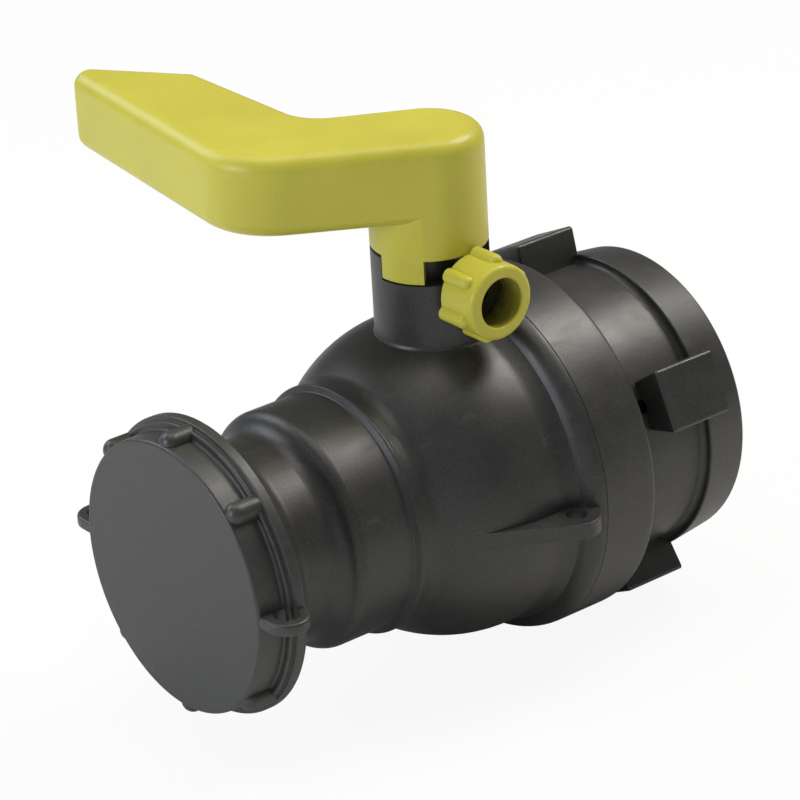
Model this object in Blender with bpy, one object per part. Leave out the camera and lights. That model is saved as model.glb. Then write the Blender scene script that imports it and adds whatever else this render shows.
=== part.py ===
# IBC tank valve, modelled closed: a ball valve with a cranked lever, a screwed dust cap and a union nut.
# Every piece is drawn round the point where the stem's axis crosses the flow's axis.
# In the scene the flow runs along Y, outlet at -Y, and the origin is the nut's tank end.
from math import acos, asin, atan2, ceil, cos, pi, radians, sin, sqrt, tan

import bmesh
import bpy
from mathutils import Vector

MM = 0.001

# Fits
GAP = 0.3 * MM  # between pieces that rest on each other
RUN = 0.4 * MM  # between pieces that turn on each other
TOOL_PAST = 3.0 * MM  # how far a cutting tool runs past what it cuts

# Flow path and ball
BORE_R = 23.0 * MM
BALL_RIM = 11.0 * MM  # bore to the ball's outside
BALL_ROOM = 1.2 * MM  # ball to chamber
BALL_EDGE = 0.8 * MM  # chamfer of the bore's mouths
CHAMBER_WALL = 4.75 * MM
SEAT_WIDTH = 3.8 * MM
SEAT_BASE = 2.0 * MM
SEAT_EDGE = 0.8 * MM
SEAL_R = 1.05 * MM  # section of the rings behind the seats

# Outlet spigot
SPIGOT_LENGTH = 73.5 * MM  # stem axis to its end face
THREAD_RISE = 6.7 * MM  # bore to the outlet thread's crests
THREAD_LENGTH = 8.0 * MM
MOUTH_ROUND = 0.8 * MM
WAIST_WALL = 2.2 * MM
WAIST_RAMP = 6.0 * MM  # thread to the waist
WAIST_ROUND = 5.0 * MM
BARREL_WALL = 6.35 * MM
BARREL_FRONT = 47.9 * MM  # stem axis to the barrel's front
BARREL_SLOPE = 2.6 * MM  # waist to the barrel's front
BARREL_ROUND = 3.5 * MM
BEAD_RISE = 1.65 * MM
BEAD_FRONT = 31.2 * MM  # stem axis to its front edge
BEAD_LENGTH = 1.4 * MM
BEAD_RAMP = 3.4 * MM  # barrel to the bead's front edge
BEAD_STEP = 0.7 * MM  # bead to the collar behind it

# Flange, shoulder ring and their joint
FLANGE_RISE = 4.65 * MM  # over the sphere
FLANGE_START = 5.2 * MM  # stem axis to where the flare leaves the sphere
FLANGE_KNEE = 8.6 * MM  # stem axis to the flare's bend
FLANGE_KNEE_RISE = 1.95 * MM  # over the sphere
FLANGE_BACK = 13.65 * MM
SHOULDER_LENGTH = 15.8 * MM
SHOULDER_ROUND = 1.5 * MM
INSERT_LENGTH = 3.6 * MM
INSERT_WALL = 1.9 * MM
FACE_SEAL_OUT = 4.2 * MM  # chamber's edge to the middle of the face seal
FACE_SEAL_SECTION = 0.9 * MM
SHOULDER_BOSS_WALL = 8.9 * MM
SHOULDER_BOSS_LENGTH = 7.6 * MM

# Union nut, its tail and retainer
NUT_END = 65.0 * MM  # stem axis to the nut's tank end
NUT_WALL = 5.7 * MM
NUT_RING_RISE = 2.3 * MM
NUT_RING_LENGTH = 12.3 * MM
NUT_RING_TAPER = 1.2 * MM
NUT_BEAD_RISE = 1.2 * MM
NUT_BEAD_LENGTH = 1.8 * MM
NUT_BEAD_ROUND = 0.3 * MM
NUT_ROUND = 0.8 * MM
LUG_ROOT = 2.3 * MM  # its base outside the nut's bore
LUG_ROUND = 0.6 * MM
TAIL_WALL = 3.2 * MM
TAIL_REACH = 5.8 * MM  # past the retainer's groove
WEB_THICKNESS = 6.3 * MM
RETAINER_THICKNESS = 1.6 * MM
RETAINER_BITE = 1.2 * MM
RETAINER_RISE = 2.2 * MM
RETAINER_SPLIT = 6.0 * MM
INLET_GASKET_THICKNESS = 2.8 * MM
INLET_GASKET_WIDTH = 5.2 * MM
LUG_COUNT = 4
LUG_ANGLE = radians(24.8)
LUG_FRONT = 36.4 * MM  # stem axis to the lugs' front faces
LUG_LENGTH = 17.6 * MM
LUG_RISE = 8.1 * MM  # over the nut's outside
LUG_WIDTH = 15.8 * MM
LUG_FLARE = 1.0 * MM
LUG_HOLE_R = 1.9 * MM
LUG_HOLE_SINK = 0.8 * MM  # below the nut's outside
LUG_HOLE_DEPTH = 9.0 * MM

# Seal ears on the body, one each side
EAR_HOLE_OUT = 3.75 * MM  # sphere to the hole's centre
EAR_HOLE_Y = 4.8 * MM
EAR_HOLE_R = 2.5 * MM
EAR_WALL = 3.15 * MM
EAR_FRONT = 14.0 * MM  # how far before the stem axis the gusset runs out on the sphere
EAR_TOP = 1.5 * MM
EAR_THICKNESS = 4.0 * MM
EAR_SINK = 0.6 * MM  # its front edge in the sphere
EAR_ROOT = 2.8 * MM  # its root in the sphere
EAR_END = 1.2 * MM  # its back edge to the flange's back

# Neck, stem and bush
NECK_R = 14.0 * MM
NECK_BORE_R = 9.4 * MM
NECK_RISE = 19.25 * MM  # over the sphere
NECK_FLARE = 0.6 * MM
NOTCH_DEPTH = 5.8 * MM
NOTCH_FROM = radians(-93)
NOTCH_TO = radians(46)
LEDGE_RISE = 1.0 * MM  # over the ball's chamber
LEDGE_THICKNESS = 2.0 * MM
STEM_R = 7.2 * MM
COLLAR_R = 10.0 * MM
COLLAR_THICKNESS = 2.3 * MM
SQUARE = 10.0 * MM
SQUARE_ROUND = 0.8 * MM
SQUARE_LENGTH = 29.0 * MM
TONGUE_WIDTH = 8.0 * MM
TONGUE_LENGTH = 20.0 * MM
TONGUE_DEPTH = 5.4 * MM
TONGUE_ROUND = 3.0 * MM
SLOT_LONGER = 2.0 * MM  # ball's slot past each end of the tongue
BALL_FLAT = 0.8 * MM
STEM_SEAL_SECTION = 0.85 * MM
STEM_GROOVE_DEPTH = 1.6 * MM
STEM_GROOVE_ROOM = 0.15 * MM
STEM_SEAL_PITCH = 4.2 * MM
BUSH_LENGTH = 9.4 * MM

# Lever
LEVER_RISE = 28.9 * MM  # over the neck
BLADE_HEIGHT = 19.1 * MM
BLADE_WALL = 2.8 * MM
BLADE_ROOF = 3.2 * MM
EDGE_ROUND = 3.2 * MM
NEAR_EDGE_TURN = radians(-127.2)  # heading of the inner arm's outlet-side edge
FAR_EDGE_TURN = radians(-117.7)
INNER_ARM_LENGTH = 46.7 * MM
OUTER_NEAR_TURN = radians(171.2)
OUTER_FAR_TURN = radians(178.3)
OUTER_FAR_LENGTH = 44.5 * MM
FAR_ARM_LENGTH = 25.4 * MM
TIP_CUT_TURN = radians(215.4)
ELBOW_ROUND = 17.0 * MM
INNER_CORNER_ROUND = 6.0 * MM
TIP_ROUND = 3.0 * MM
POCKET_START = 6.3 * MM  # along the arm from the hub's middle
RIB_THICKNESS = 2.0 * MM
RIB_DROP = 2.0 * MM  # blade's underside to the ribs
RIB_COUNT = 3
TAB_FROM = radians(-92)
TAB_TO = radians(-45)
TAB_ROOT = 1.2 * MM  # how far it reaches into the foot

# Lock screw
LOCK_DROP = 8.2 * MM  # neck's top to the screw's axis
LOCK_HEAD_R = 9.1 * MM
LOCK_HEAD_LENGTH = 11.5 * MM
LOCK_BORE_R = 6.0 * MM
LOCK_BORE_DEPTH = 8.0 * MM
LOCK_STEP_R = 4.6 * MM
LOCK_STEP_DEPTH = 1.2 * MM
LOCK_SHANK_R = 2.0 * MM
LOCK_SHANK_LENGTH = 2.9 * MM
LOCK_RIB_COUNT = 6
LOCK_RIB_ANGLE = radians(19)
LOCK_RIB_R = 1.9 * MM
LOCK_RIB_RISE = 1.4 * MM
LOCK_RIB_LENGTH = 9.2 * MM
LOCK_BACK_ROUND = 0.6 * MM
LOCK_FRONT_ROUND = 1.2 * MM
LOCK_SEAL_R = 4.3 * MM
LOCK_SEAL_SECTION = 0.8 * MM

# Dust cap
CAP_SKIRT = 3.3 * MM  # thread's crests to the skirt's outside
CAP_FLANGE_RISE = 3.1 * MM
CAP_LENGTH = 10.9 * MM
CAP_FACE = 3.2 * MM  # thickness of its front
CAP_FLANGE = 2.8 * MM
CAP_STEP = 1.4 * MM
CAP_ROUND = 0.8 * MM
CAP_RIM = 1.0 * MM  # flange over the step before it
CAP_GASKET = 2.5 * MM
CAP_GASKET_WIDTH = 7.5 * MM
CAP_RIB_COUNT = 8  # places round the skirt, two of them taken by the ears
CAP_RIB_WIDTH = 4.6 * MM
CAP_RIB_LENGTH = 8.6 * MM
CAP_RIB_RISE = 1.8 * MM
CAP_EAR_OUT = 3.2 * MM  # skirt to the hole's centre
CAP_EAR_BACK = 5.2 * MM  # front face to the hole's centre
CAP_EAR_R = 5.0 * MM
CAP_EAR_HOLE_R = 2.75 * MM
CAP_EAR_TOP = 2.0 * MM
CAP_EAR_THICKNESS = 2.7 * MM

# Facets
ROUND_STEPS = 40
HIDDEN_STEPS = 28
SMALL_STEPS = 24
NECK_STEPS = 30
HOLE_STEPS = 12
ARC_STEP = radians(46)
SECTOR_STEP = radians(7)
SMOOTH_ANGLE = radians(32)

BALL_R = BORE_R + BALL_RIM
THREAD_R = BORE_R + THREAD_RISE
BARREL_R = BORE_R + BARREL_WALL
SHOULDER_BOSS_R = BORE_R + SHOULDER_BOSS_WALL
NUT_BORE_R = THREAD_R + 2 * GAP
NUT_R = NUT_BORE_R + NUT_WALL
NUT_RING_R = NUT_R + NUT_RING_RISE
LUG_REACH = NUT_R + LUG_RISE
CAP_R = THREAD_R + CAP_SKIRT
CAP_FLANGE_R = CAP_R + CAP_FLANGE_RISE
CHAMBER_R = BALL_R + BALL_ROOM
SPHERE_R = CHAMBER_R + CHAMBER_WALL
FLANGE_R = SPHERE_R + FLANGE_RISE
FACE_SEAL_R = CHAMBER_R + FACE_SEAL_OUT
EAR_HOLE_X = SPHERE_R + EAR_HOLE_OUT
NECK_TOP = SPHERE_R + NECK_RISE
LEVER_TOP = NECK_TOP + LEVER_RISE
LOCK_HEIGHT = NECK_TOP - LOCK_DROP
SEAT_IN_R = BORE_R + GAP
SEAT_OUT_R = SEAT_IN_R + SEAT_WIDTH
SEAT_FACE_R = BALL_R + GAP
SEAT_BACK = sqrt(SEAT_FACE_R**2 - SEAT_IN_R**2) + SEAT_BASE
SEAL_ROOM = 2 * SEAL_R + GAP
SEAT_POCKET_R = SEAT_OUT_R + GAP
SHOULDER_FRONT = FLANGE_BACK + GAP
SHOULDER_BACK = SHOULDER_FRONT + SHOULDER_LENGTH
NUT_FRONT = SHOULDER_BACK + RUN
BOSS_BACK = SHOULDER_BACK + SHOULDER_BOSS_LENGTH
WEB_FRONT = BOSS_BACK + RUN
WEB_BACK = WEB_FRONT + WEB_THICKNESS
RETAINER_FRONT = WEB_BACK + GAP
RETAINER_BACK = RETAINER_FRONT + RETAINER_THICKNESS
TAIL_R = BORE_R + TAIL_WALL
TAIL_END = RETAINER_BACK + TAIL_REACH
LEDGE_LOW = CHAMBER_R + LEDGE_RISE
LEDGE_TOP = LEDGE_LOW + LEDGE_THICKNESS
BUSH_BOTTOM = LEDGE_TOP + GAP
BUSH_TOP = BUSH_BOTTOM + BUSH_LENGTH
LEVER_FOOT = BUSH_TOP + GAP
HUB_BOTTOM = NECK_TOP + GAP
NOTCH_FLOOR = NECK_TOP - NOTCH_DEPTH
BLADE_BOTTOM = LEVER_TOP - BLADE_HEIGHT
SQUARE_TOP = LEVER_FOOT + SQUARE_LENGTH
COLLAR_TOP = LEDGE_LOW - GAP
COLLAR_BOTTOM = COLLAR_TOP - COLLAR_THICKNESS
LOCK_BACK = NECK_R + GAP
CAP_INNER_FACE = SPIGOT_LENGTH + CAP_GASKET + 2 * GAP
CAP_FRONT = CAP_INNER_FACE + CAP_FACE
CAP_BACK = CAP_FRONT - CAP_LENGTH


def rounded(corners):
    """Points of a closed outline from (x, y) or (x, y, radius) corners, each radius limited by its edges."""
    points = []
    for index, corner in enumerate(corners):
        here = Vector(corner[:2])
        if len(corner) == 2:
            points.append(here)
            continue
        back = Vector(corners[index - 1][:2]) - here
        ahead = Vector(corners[(index + 1) % len(corners)][:2]) - here
        half = back.angle(ahead) / 2
        reach = min(corner[2] / tan(half), 0.49 * back.length, 0.49 * ahead.length)
        radius = reach * tan(half)
        centre = here + (back.normalized() + ahead.normalized()).normalized() * radius / sin(half)
        start = here + back.normalized() * reach - centre
        end = here + ahead.normalized() * reach - centre
        sweep = atan2(start.x * end.y - start.y * end.x, start.dot(end))
        first = atan2(start.y, start.x)
        steps = ceil(abs(sweep) / ARC_STEP)
        for step in range(steps + 1):
            turn = first + sweep * step / steps
            points.append(centre + radius * Vector((cos(turn), sin(turn))))
    return [tuple(point) for point in points]


def arc(radius, start, end, steps, centre=(0, 0)):
    """Points along an arc, both ends included; angles from the first coordinate to the second."""
    turns = [start + (end - start) * step / steps for step in range(steps + 1)]
    return [(centre[0] + radius * cos(turn), centre[1] + radius * sin(turn)) for turn in turns]


def oblong(half_x, half_y):
    return [(-half_x, -half_y), (half_x, -half_y), (half_x, half_y), (-half_x, half_y)]


def place(u, v, along, axis):
    if axis == "X":
        return Vector((along, u, v))
    if axis == "Y":
        return Vector((u, along, v))
    return Vector((u, v, along))


def add_object(name, bm, parent, material=None):
    bmesh.ops.recalc_face_normals(bm, faces=bm.faces)
    mesh = bpy.data.meshes.new(name)
    bm.to_mesh(mesh)
    bm.free()
    mesh.shade_smooth()
    mesh.set_sharp_from_angle(angle=SMOOTH_ANGLE)
    obj = bpy.data.objects.new(name, mesh)
    bpy.context.collection.objects.link(obj)
    obj.parent = parent
    if material:
        mesh.materials.append(material)
    return obj


def turned(name, outline, axis, parent, material=None, steps=ROUND_STEPS):
    """A closed outline of (radius, along) points turned once round the axis."""
    bm = bmesh.new()
    verts = [bm.verts.new(place(radius, 0, along, axis)) for radius, along in outline]
    edges = []
    for index, vert in enumerate(verts):
        if max(outline[index][0], outline[index - 1][0]) > 0:
            edges.append(bm.edges.new((verts[index - 1], vert)))
    bmesh.ops.spin(bm, geom=verts + edges, axis=place(0, 0, 1, axis), cent=(0, 0, 0), angle=2 * pi,
                   steps=steps, use_merge=True, use_duplicate=False)
    bmesh.ops.remove_doubles(bm, verts=bm.verts, dist=0.001 * MM)
    return add_object(name, bm, parent, material)


def extruded(name, outline, low, high, axis, parent, material=None):
    bm = bmesh.new()
    face = bm.faces.new([bm.verts.new(place(u, v, low, axis)) for u, v in outline])
    sides = bmesh.ops.extrude_face_region(bm, geom=[face])["geom"]
    moved = [item for item in sides if isinstance(item, bmesh.types.BMVert)]
    bmesh.ops.translate(bm, verts=moved, vec=place(0, 0, high - low, axis))
    return add_object(name, bm, parent, material)


def combine(target, tool, operation):
    tool.hide_render = True
    tool.display_type = "WIRE"
    modifier = target.modifiers.new(tool.name, "BOOLEAN")
    modifier.operation = operation
    modifier.solver = "EXACT"
    modifier.object = tool


def cut(target, tool):
    combine(target, tool, "DIFFERENCE")


def join(target, tool):
    combine(target, tool, "UNION")


def bar(name, radius, low, high, axis, parent, steps=SMALL_STEPS):
    return turned(name, [(0, low), (radius, low), (radius, high), (0, high)], axis, parent, None, steps)


def sector(name, inner, outer, start, end, low, high, parent):
    steps = ceil((end - start) / SECTOR_STEP)
    outline = arc(outer, start, end, steps) + arc(inner, end, start, steps)
    return extruded(name, outline, low, high, "Z", parent)


def plastic(name, colour, roughness):
    material = bpy.data.materials.new(name)
    material.use_nodes = True
    shader = material.node_tree.nodes["Principled BSDF"]
    shader.inputs["Base Color"].default_value = (*colour, 1)
    shader.inputs["Roughness"].default_value = roughness
    shader.inputs["Metallic"].default_value = 0
    return material


def charcoal_polypropylene():
    return plastic("charcoal polypropylene", (0.045, 0.045, 0.043), 0.42)


def black_polypropylene():
    return plastic("black polypropylene", (0.035, 0.035, 0.034), 0.4)


def yellow_polypropylene():
    return plastic("yellow polypropylene", (0.66, 0.62, 0.08), 0.45)


def white_fluoropolymer():
    return plastic("white fluoropolymer", (0.8, 0.8, 0.78), 0.5)


def black_rubber():
    return plastic("black rubber", (0.02, 0.02, 0.02), 0.8)


def natural_acetal():
    return plastic("natural acetal", (0.72, 0.71, 0.66), 0.4)


def body_outline():
    """The body's outside from the outlet's end face to the flange's back face, then back along the axis."""
    waist_r = BORE_R + WAIST_WALL
    thread_end = SPIGOT_LENGTH - THREAD_LENGTH
    bead_r = BARREL_R + BEAD_RISE
    bead_back = BEAD_FRONT - BEAD_LENGTH
    sphere_start = asin((bead_r - BEAD_STEP) / SPHERE_R)
    sphere_end = pi / 2 + asin(FLANGE_START / SPHERE_R)
    sphere = [(y, -x) for x, y in arc(SPHERE_R, sphere_start, sphere_end, 7)]
    front = [
        (0, -SPIGOT_LENGTH),
        (THREAD_R, -SPIGOT_LENGTH, MOUTH_ROUND),
        (THREAD_R, -thread_end, MOUTH_ROUND),
        (waist_r, -thread_end + WAIST_RAMP, WAIST_ROUND),
        (waist_r, -BARREL_FRONT - BARREL_SLOPE, WAIST_ROUND),
        (BARREL_R, -BARREL_FRONT, BARREL_ROUND),
        (BARREL_R, -BEAD_FRONT - BEAD_RAMP),
        (bead_r, -BEAD_FRONT),
        (bead_r, -bead_back),
        (bead_r - BEAD_STEP, -bead_back),
    ]
    back = [
        (SPHERE_R + FLANGE_KNEE_RISE, FLANGE_KNEE),
        (FLANGE_R, FLANGE_BACK),
        (0, FLANGE_BACK),
    ]
    return rounded(front + sphere + back)


def cavity_outline():
    """The flow path and ball chamber, run past both ends of the body."""
    pocket_y = -SEAT_BACK - GAP
    groove_y = pocket_y - SEAL_ROOM
    groove_r = SEAT_POCKET_R - GAP
    pocket_turn = atan2(SEAT_POCKET_R, sqrt(CHAMBER_R**2 - SEAT_POCKET_R**2))
    chamber = [(y, -x) for x, y in arc(CHAMBER_R, pocket_turn, pi / 2, 5)]
    socket_r = CHAMBER_R + GAP
    front = -SPIGOT_LENGTH - TOOL_PAST
    back = FLANGE_BACK + TOOL_PAST
    outline = [(0, front), (BORE_R, front), (BORE_R, groove_y)]
    outline += [(groove_r, groove_y), (groove_r, pocket_y), (SEAT_POCKET_R, pocket_y)]
    outline += chamber
    outline += [(socket_r, 0), (socket_r, back), (0, back)]
    return outline


def neck_outline():
    flare_z = sqrt(SPHERE_R**2 - (NECK_R + NECK_FLARE) ** 2)
    root = CHAMBER_R
    return [
        (0, root),
        (NECK_R + NECK_FLARE, root),
        (NECK_R + NECK_FLARE, flare_z),
        (NECK_R, flare_z + 2 * NECK_FLARE),
        (NECK_R, NECK_TOP),
        (0, NECK_TOP),
    ]


def neck_bore_outline():
    bottom = BALL_R - TOOL_PAST
    recess_r = COLLAR_R + RUN
    ledge_r = STEM_R + RUN
    return [
        (0, bottom),
        (recess_r, bottom),
        (recess_r, LEDGE_LOW),
        (ledge_r, LEDGE_LOW),
        (ledge_r, LEDGE_TOP),
        (NECK_BORE_R, LEDGE_TOP),
        (NECK_BORE_R, NECK_TOP + TOOL_PAST),
        (0, NECK_TOP + TOOL_PAST),
    ]


def ear_outline(side):
    """Plan of a body ear: a gusset that leaves the sphere, rounds the hole and runs into the flange."""
    rim_r = EAR_HOLE_R + EAR_WALL
    away = Vector((EAR_HOLE_X, EAR_HOLE_Y))
    start = Vector((sqrt(SPHERE_R**2 - EAR_FRONT**2) - EAR_SINK, -EAR_FRONT))
    reach = away - start
    lean = atan2(reach.y, reach.x) - asin(rim_r / reach.length)
    rim = arc(rim_r, lean - pi / 2, radians(52), 6, tuple(away))
    back = FLANGE_BACK - EAR_END
    inside = SPHERE_R - EAR_ROOT
    points = [(inside, -EAR_FRONT / 3), tuple(start)] + rim + [(FLANGE_R - EAR_END, back), (inside, back)]
    return [(side * x, y) for x, y in points]


def neck_tool(centre):
    """The stem's neck with the notch that limits the lever's turn."""
    neck = turned("neck_tool", neck_outline(), "Z", centre, None, NECK_STEPS)
    cut(neck, sector("notch_tool", NECK_BORE_R - TOOL_PAST, NECK_R + TOOL_PAST, NOTCH_FROM, NOTCH_TO,
                     NOTCH_FLOOR, NECK_TOP + TOOL_PAST, centre))
    half = NECK_R + 2 * NECK_FLARE
    behind = [(x, y + FLANGE_BACK + half) for x, y in oblong(half, half)]
    cut(neck, extruded("neck_relief_tool", behind, BALL_R, FLANGE_R + GAP, "Z", centre))
    return neck


def valve_body(centre):
    body = turned("valve_body", body_outline(), "Y", centre, charcoal_polypropylene())
    join(body, neck_tool(centre))
    for side, word in ((1, "right"), (-1, "left")):
        ear = extruded(f"{word}_ear_tool", ear_outline(side), EAR_TOP - EAR_THICKNESS, EAR_TOP, "Z", centre)
        join(body, ear)
    cut(body, turned("cavity_tool", cavity_outline(), "Y", centre))
    cut(body, turned("neck_bore_tool", neck_bore_outline(), "Z", centre, None, NECK_STEPS))
    shank_hole = bar("shank_hole_tool", LOCK_SHANK_R + GAP, NECK_BORE_R - TOOL_PAST, NECK_R + TOOL_PAST, "X",
                     centre, HOLE_STEPS)
    shank_hole.location.z = LOCK_HEIGHT
    cut(body, shank_hole)
    for side, word in ((1, "right"), (-1, "left")):
        hole = bar(f"{word}_ear_hole_tool", EAR_HOLE_R, EAR_TOP - 2 * EAR_THICKNESS, EAR_TOP + EAR_THICKNESS,
                   "Z", centre, HOLE_STEPS)
        hole.location = (side * EAR_HOLE_X, EAR_HOLE_Y, 0)
        cut(body, hole)
    return body


def shoulder_ring(centre):
    """Closes the chamber behind the ball, holds the inlet seat and carries the nut on its tail."""
    insert_front = SHOULDER_FRONT - INSERT_LENGTH
    insert_in_r = CHAMBER_R - INSERT_WALL
    pocket_y = SEAT_BACK + GAP
    groove_y = pocket_y + SEAL_ROOM
    groove_r = SEAT_POCKET_R - GAP
    front_turn = atan2(insert_front, sqrt(CHAMBER_R**2 - insert_front**2))
    pocket_turn = acos(SEAT_POCKET_R / CHAMBER_R)
    chamber = arc(CHAMBER_R - GAP, front_turn, pocket_turn, 3)
    seal_in = FACE_SEAL_R - FACE_SEAL_SECTION - GAP
    seal_out = FACE_SEAL_R + FACE_SEAL_SECTION + GAP
    seal_floor = SHOULDER_FRONT + 2 * FACE_SEAL_SECTION
    root_r = TAIL_R - RETAINER_BITE
    outline = [(BORE_R, groove_y), (groove_r, groove_y), (groove_r, pocket_y), (SEAT_POCKET_R, pocket_y)]
    outline += [point for point in reversed(chamber) if point[0] < insert_in_r]
    outline += [
        (insert_in_r, insert_front),
        (CHAMBER_R, insert_front),
        (CHAMBER_R, SHOULDER_FRONT),
        (seal_in, SHOULDER_FRONT),
        (seal_in, seal_floor),
        (seal_out, seal_floor),
        (seal_out, SHOULDER_FRONT),
        (FLANGE_R, SHOULDER_FRONT),
        (FLANGE_R, SHOULDER_BACK, SHOULDER_ROUND),
        (SHOULDER_BOSS_R, SHOULDER_BACK),
        (SHOULDER_BOSS_R, BOSS_BACK),
        (TAIL_R, BOSS_BACK),
        (TAIL_R, RETAINER_FRONT - GAP / 2),
        (root_r, RETAINER_FRONT - GAP / 2),
        (root_r, RETAINER_BACK + GAP),
        (TAIL_R, RETAINER_BACK + GAP),
        (TAIL_R, TAIL_END),
        (BORE_R, TAIL_END),
    ]
    return turned("shoulder_ring", rounded(outline), "Y", centre, black_polypropylene())


def seat(name, side, centre):
    inner_y = SEAT_BACK - SEAT_BASE
    outer_turn = acos((SEAT_OUT_R - SEAT_EDGE) / SEAT_FACE_R)
    inner_turn = acos(SEAT_IN_R / SEAT_FACE_R)
    face = arc(SEAT_FACE_R, inner_turn, outer_turn, 3)
    outline = [(SEAT_IN_R, SEAT_BACK)] + face + [(SEAT_OUT_R, face[-1][1]), (SEAT_OUT_R, SEAT_BACK)]
    outline = [(radius, side * along) for radius, along in outline]
    return turned(name, outline, "Y", centre, white_fluoropolymer(), HIDDEN_STEPS)


def ring(name, radius, section, along, axis, centre, steps=HIDDEN_STEPS, sides=6):
    """A rubber ring of round section."""
    outline = [(radius + section * cos(2 * pi * side / sides), along + section * sin(2 * pi * side / sides))
               for side in range(sides)]
    return turned(name, outline, axis, centre, black_rubber(), steps)


def washer(name, inner, outer, front, back, centre, steps=HIDDEN_STEPS):
    outline = [(inner, front), (outer, front), (outer, back), (inner, back)]
    return turned(name, outline, "Y", centre, black_rubber(), steps)


def ball(centre):
    """Bored ball, closed: its bore lies across the flow and the stem's slot along it."""
    mouth = acos(BORE_R / BALL_R)
    edge = mouth - BALL_EDGE / BALL_R
    bore_end = BALL_R * sin(mouth) - BALL_EDGE / 2
    outline = [(BORE_R, -bore_end), *arc(BALL_R, -edge, edge, 10), (BORE_R, bore_end)]
    obj = turned("ball", outline, "X", centre, charcoal_polypropylene(), 40)
    top = BALL_R - BALL_FLAT
    cut(obj, bar("ball_flat_tool", BORE_R, top, top + TOOL_PAST, "Z", centre))
    half_width = TONGUE_WIDTH / 2 + GAP
    half_length = TONGUE_LENGTH / 2 + SLOT_LONGER
    corners = [(x, y, half_width) for x, y in oblong(half_width, half_length)]
    floor = COLLAR_BOTTOM - TONGUE_DEPTH - GAP
    cut(obj, extruded("ball_slot_tool", rounded(corners), floor, top + TOOL_PAST, "Z", centre))
    return obj


def stem(centre):
    """Shoulder and tongue below, two seal grooves in the bush, and the lever's square above."""
    groove_r = STEM_R - STEM_GROOVE_DEPTH
    half_groove = STEM_SEAL_SECTION + STEM_GROOVE_ROOM
    outline = [(0, COLLAR_BOTTOM), (COLLAR_R, COLLAR_BOTTOM), (COLLAR_R, COLLAR_TOP)]
    outline.append((STEM_R, COLLAR_TOP))
    for height in stem_seal_heights():
        outline += [(STEM_R, height - half_groove), (groove_r, height - half_groove)]
        outline += [(groove_r, height + half_groove), (STEM_R, height + half_groove)]
    outline += [(STEM_R, LEVER_FOOT - GAP), (0, LEVER_FOOT - GAP)]
    obj = turned("stem", outline, "Z", centre, black_polypropylene(), SMALL_STEPS)
    half = SQUARE / 2
    corners = [(x, y, SQUARE_ROUND) for x, y in oblong(half, half)]
    join(obj, extruded("stem_square_tool", rounded(corners), BUSH_TOP - GAP, SQUARE_TOP, "Z", centre))
    corners = [(x, y, TONGUE_ROUND) for x, y in oblong(TONGUE_WIDTH / 2, TONGUE_LENGTH / 2)]
    tongue = extruded("stem_tongue_tool", rounded(corners), COLLAR_BOTTOM - TONGUE_DEPTH,
                      COLLAR_BOTTOM + COLLAR_THICKNESS / 2, "Z", centre)
    join(obj, tongue)
    return obj


def stem_seal_heights():
    middle = (BUSH_BOTTOM + BUSH_TOP) / 2
    return middle - STEM_SEAL_PITCH / 2, middle + STEM_SEAL_PITCH / 2


def stem_bush(centre):
    inner = STEM_R + RUN
    outer = NECK_BORE_R - GAP
    outline = [(inner, BUSH_BOTTOM), (outer, BUSH_BOTTOM), (outer, BUSH_TOP), (inner, BUSH_TOP)]
    return turned("stem_bush", outline, "Z", centre, natural_acetal(), SMALL_STEPS)


def heading(turn):
    return Vector((cos(turn), sin(turn)))


def near_root(along):
    """A point of the inner arm's outlet-side edge, measured from where it leaves the hub."""
    return heading(NEAR_EDGE_TURN + pi / 2) * NECK_R + heading(NEAR_EDGE_TURN) * along


def far_root(along):
    return heading(FAR_EDGE_TURN - pi / 2) * NECK_R + heading(FAR_EDGE_TURN) * along


def blade_corners():
    """Plan corners of the cranked blade: inner corner, shoulder of the end cut, tip and elbow."""
    elbow = near_root(INNER_ARM_LENGTH)
    inner_corner = far_root(FAR_ARM_LENGTH)
    shoulder = inner_corner + heading(OUTER_FAR_TURN) * OUTER_FAR_LENGTH
    cut_way = heading(TIP_CUT_TURN)
    near_way = heading(OUTER_NEAR_TURN)
    tip = elbow + near_way * (shoulder - elbow).cross(cut_way) / near_way.cross(cut_way)
    return inner_corner, shoulder, tip, elbow


def blade_outline():
    inner_corner, shoulder, tip, elbow = blade_corners()
    hub = arc(NECK_R, FAR_EDGE_TURN + 1.5 * pi, NEAR_EDGE_TURN + pi / 2, 15)
    corners = [(*elbow, ELBOW_ROUND), (*tip, TIP_ROUND), (*shoulder, TIP_ROUND)]
    corners.append((*inner_corner, INNER_CORNER_ROUND))
    return rounded(hub + corners)


def inset_corners(corners, distance):
    """The corners of an anticlockwise outline after each of its sides has moved inwards by the distance."""
    points = []
    for index, corner in enumerate(corners):
        here = Vector(corner)
        back = (here - Vector(corners[index - 1])).normalized()
        ahead = (Vector(corners[(index + 1) % len(corners)]) - here).normalized()
        inward = Vector((-back.y - ahead.y, back.x + ahead.x)).normalized()
        points.append(here + inward * distance / cos(back.angle(ahead) / 2))
    return points


def pocket_outline():
    """The blade's hollow: its walls keep one thickness, and it stops short of the hub."""
    corners = inset_corners([*blade_corners(), near_root(POCKET_START), far_root(POCKET_START)], BLADE_WALL)
    tip_round = TIP_ROUND / 2
    rounds = (INNER_CORNER_ROUND + BLADE_WALL, tip_round, tip_round, ELBOW_ROUND - BLADE_WALL)
    rounded_corners = [(*corner, radius) for corner, radius in zip(corners, rounds)]
    return rounded(rounded_corners + [tuple(corner) for corner in corners[len(rounds):]])


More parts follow.
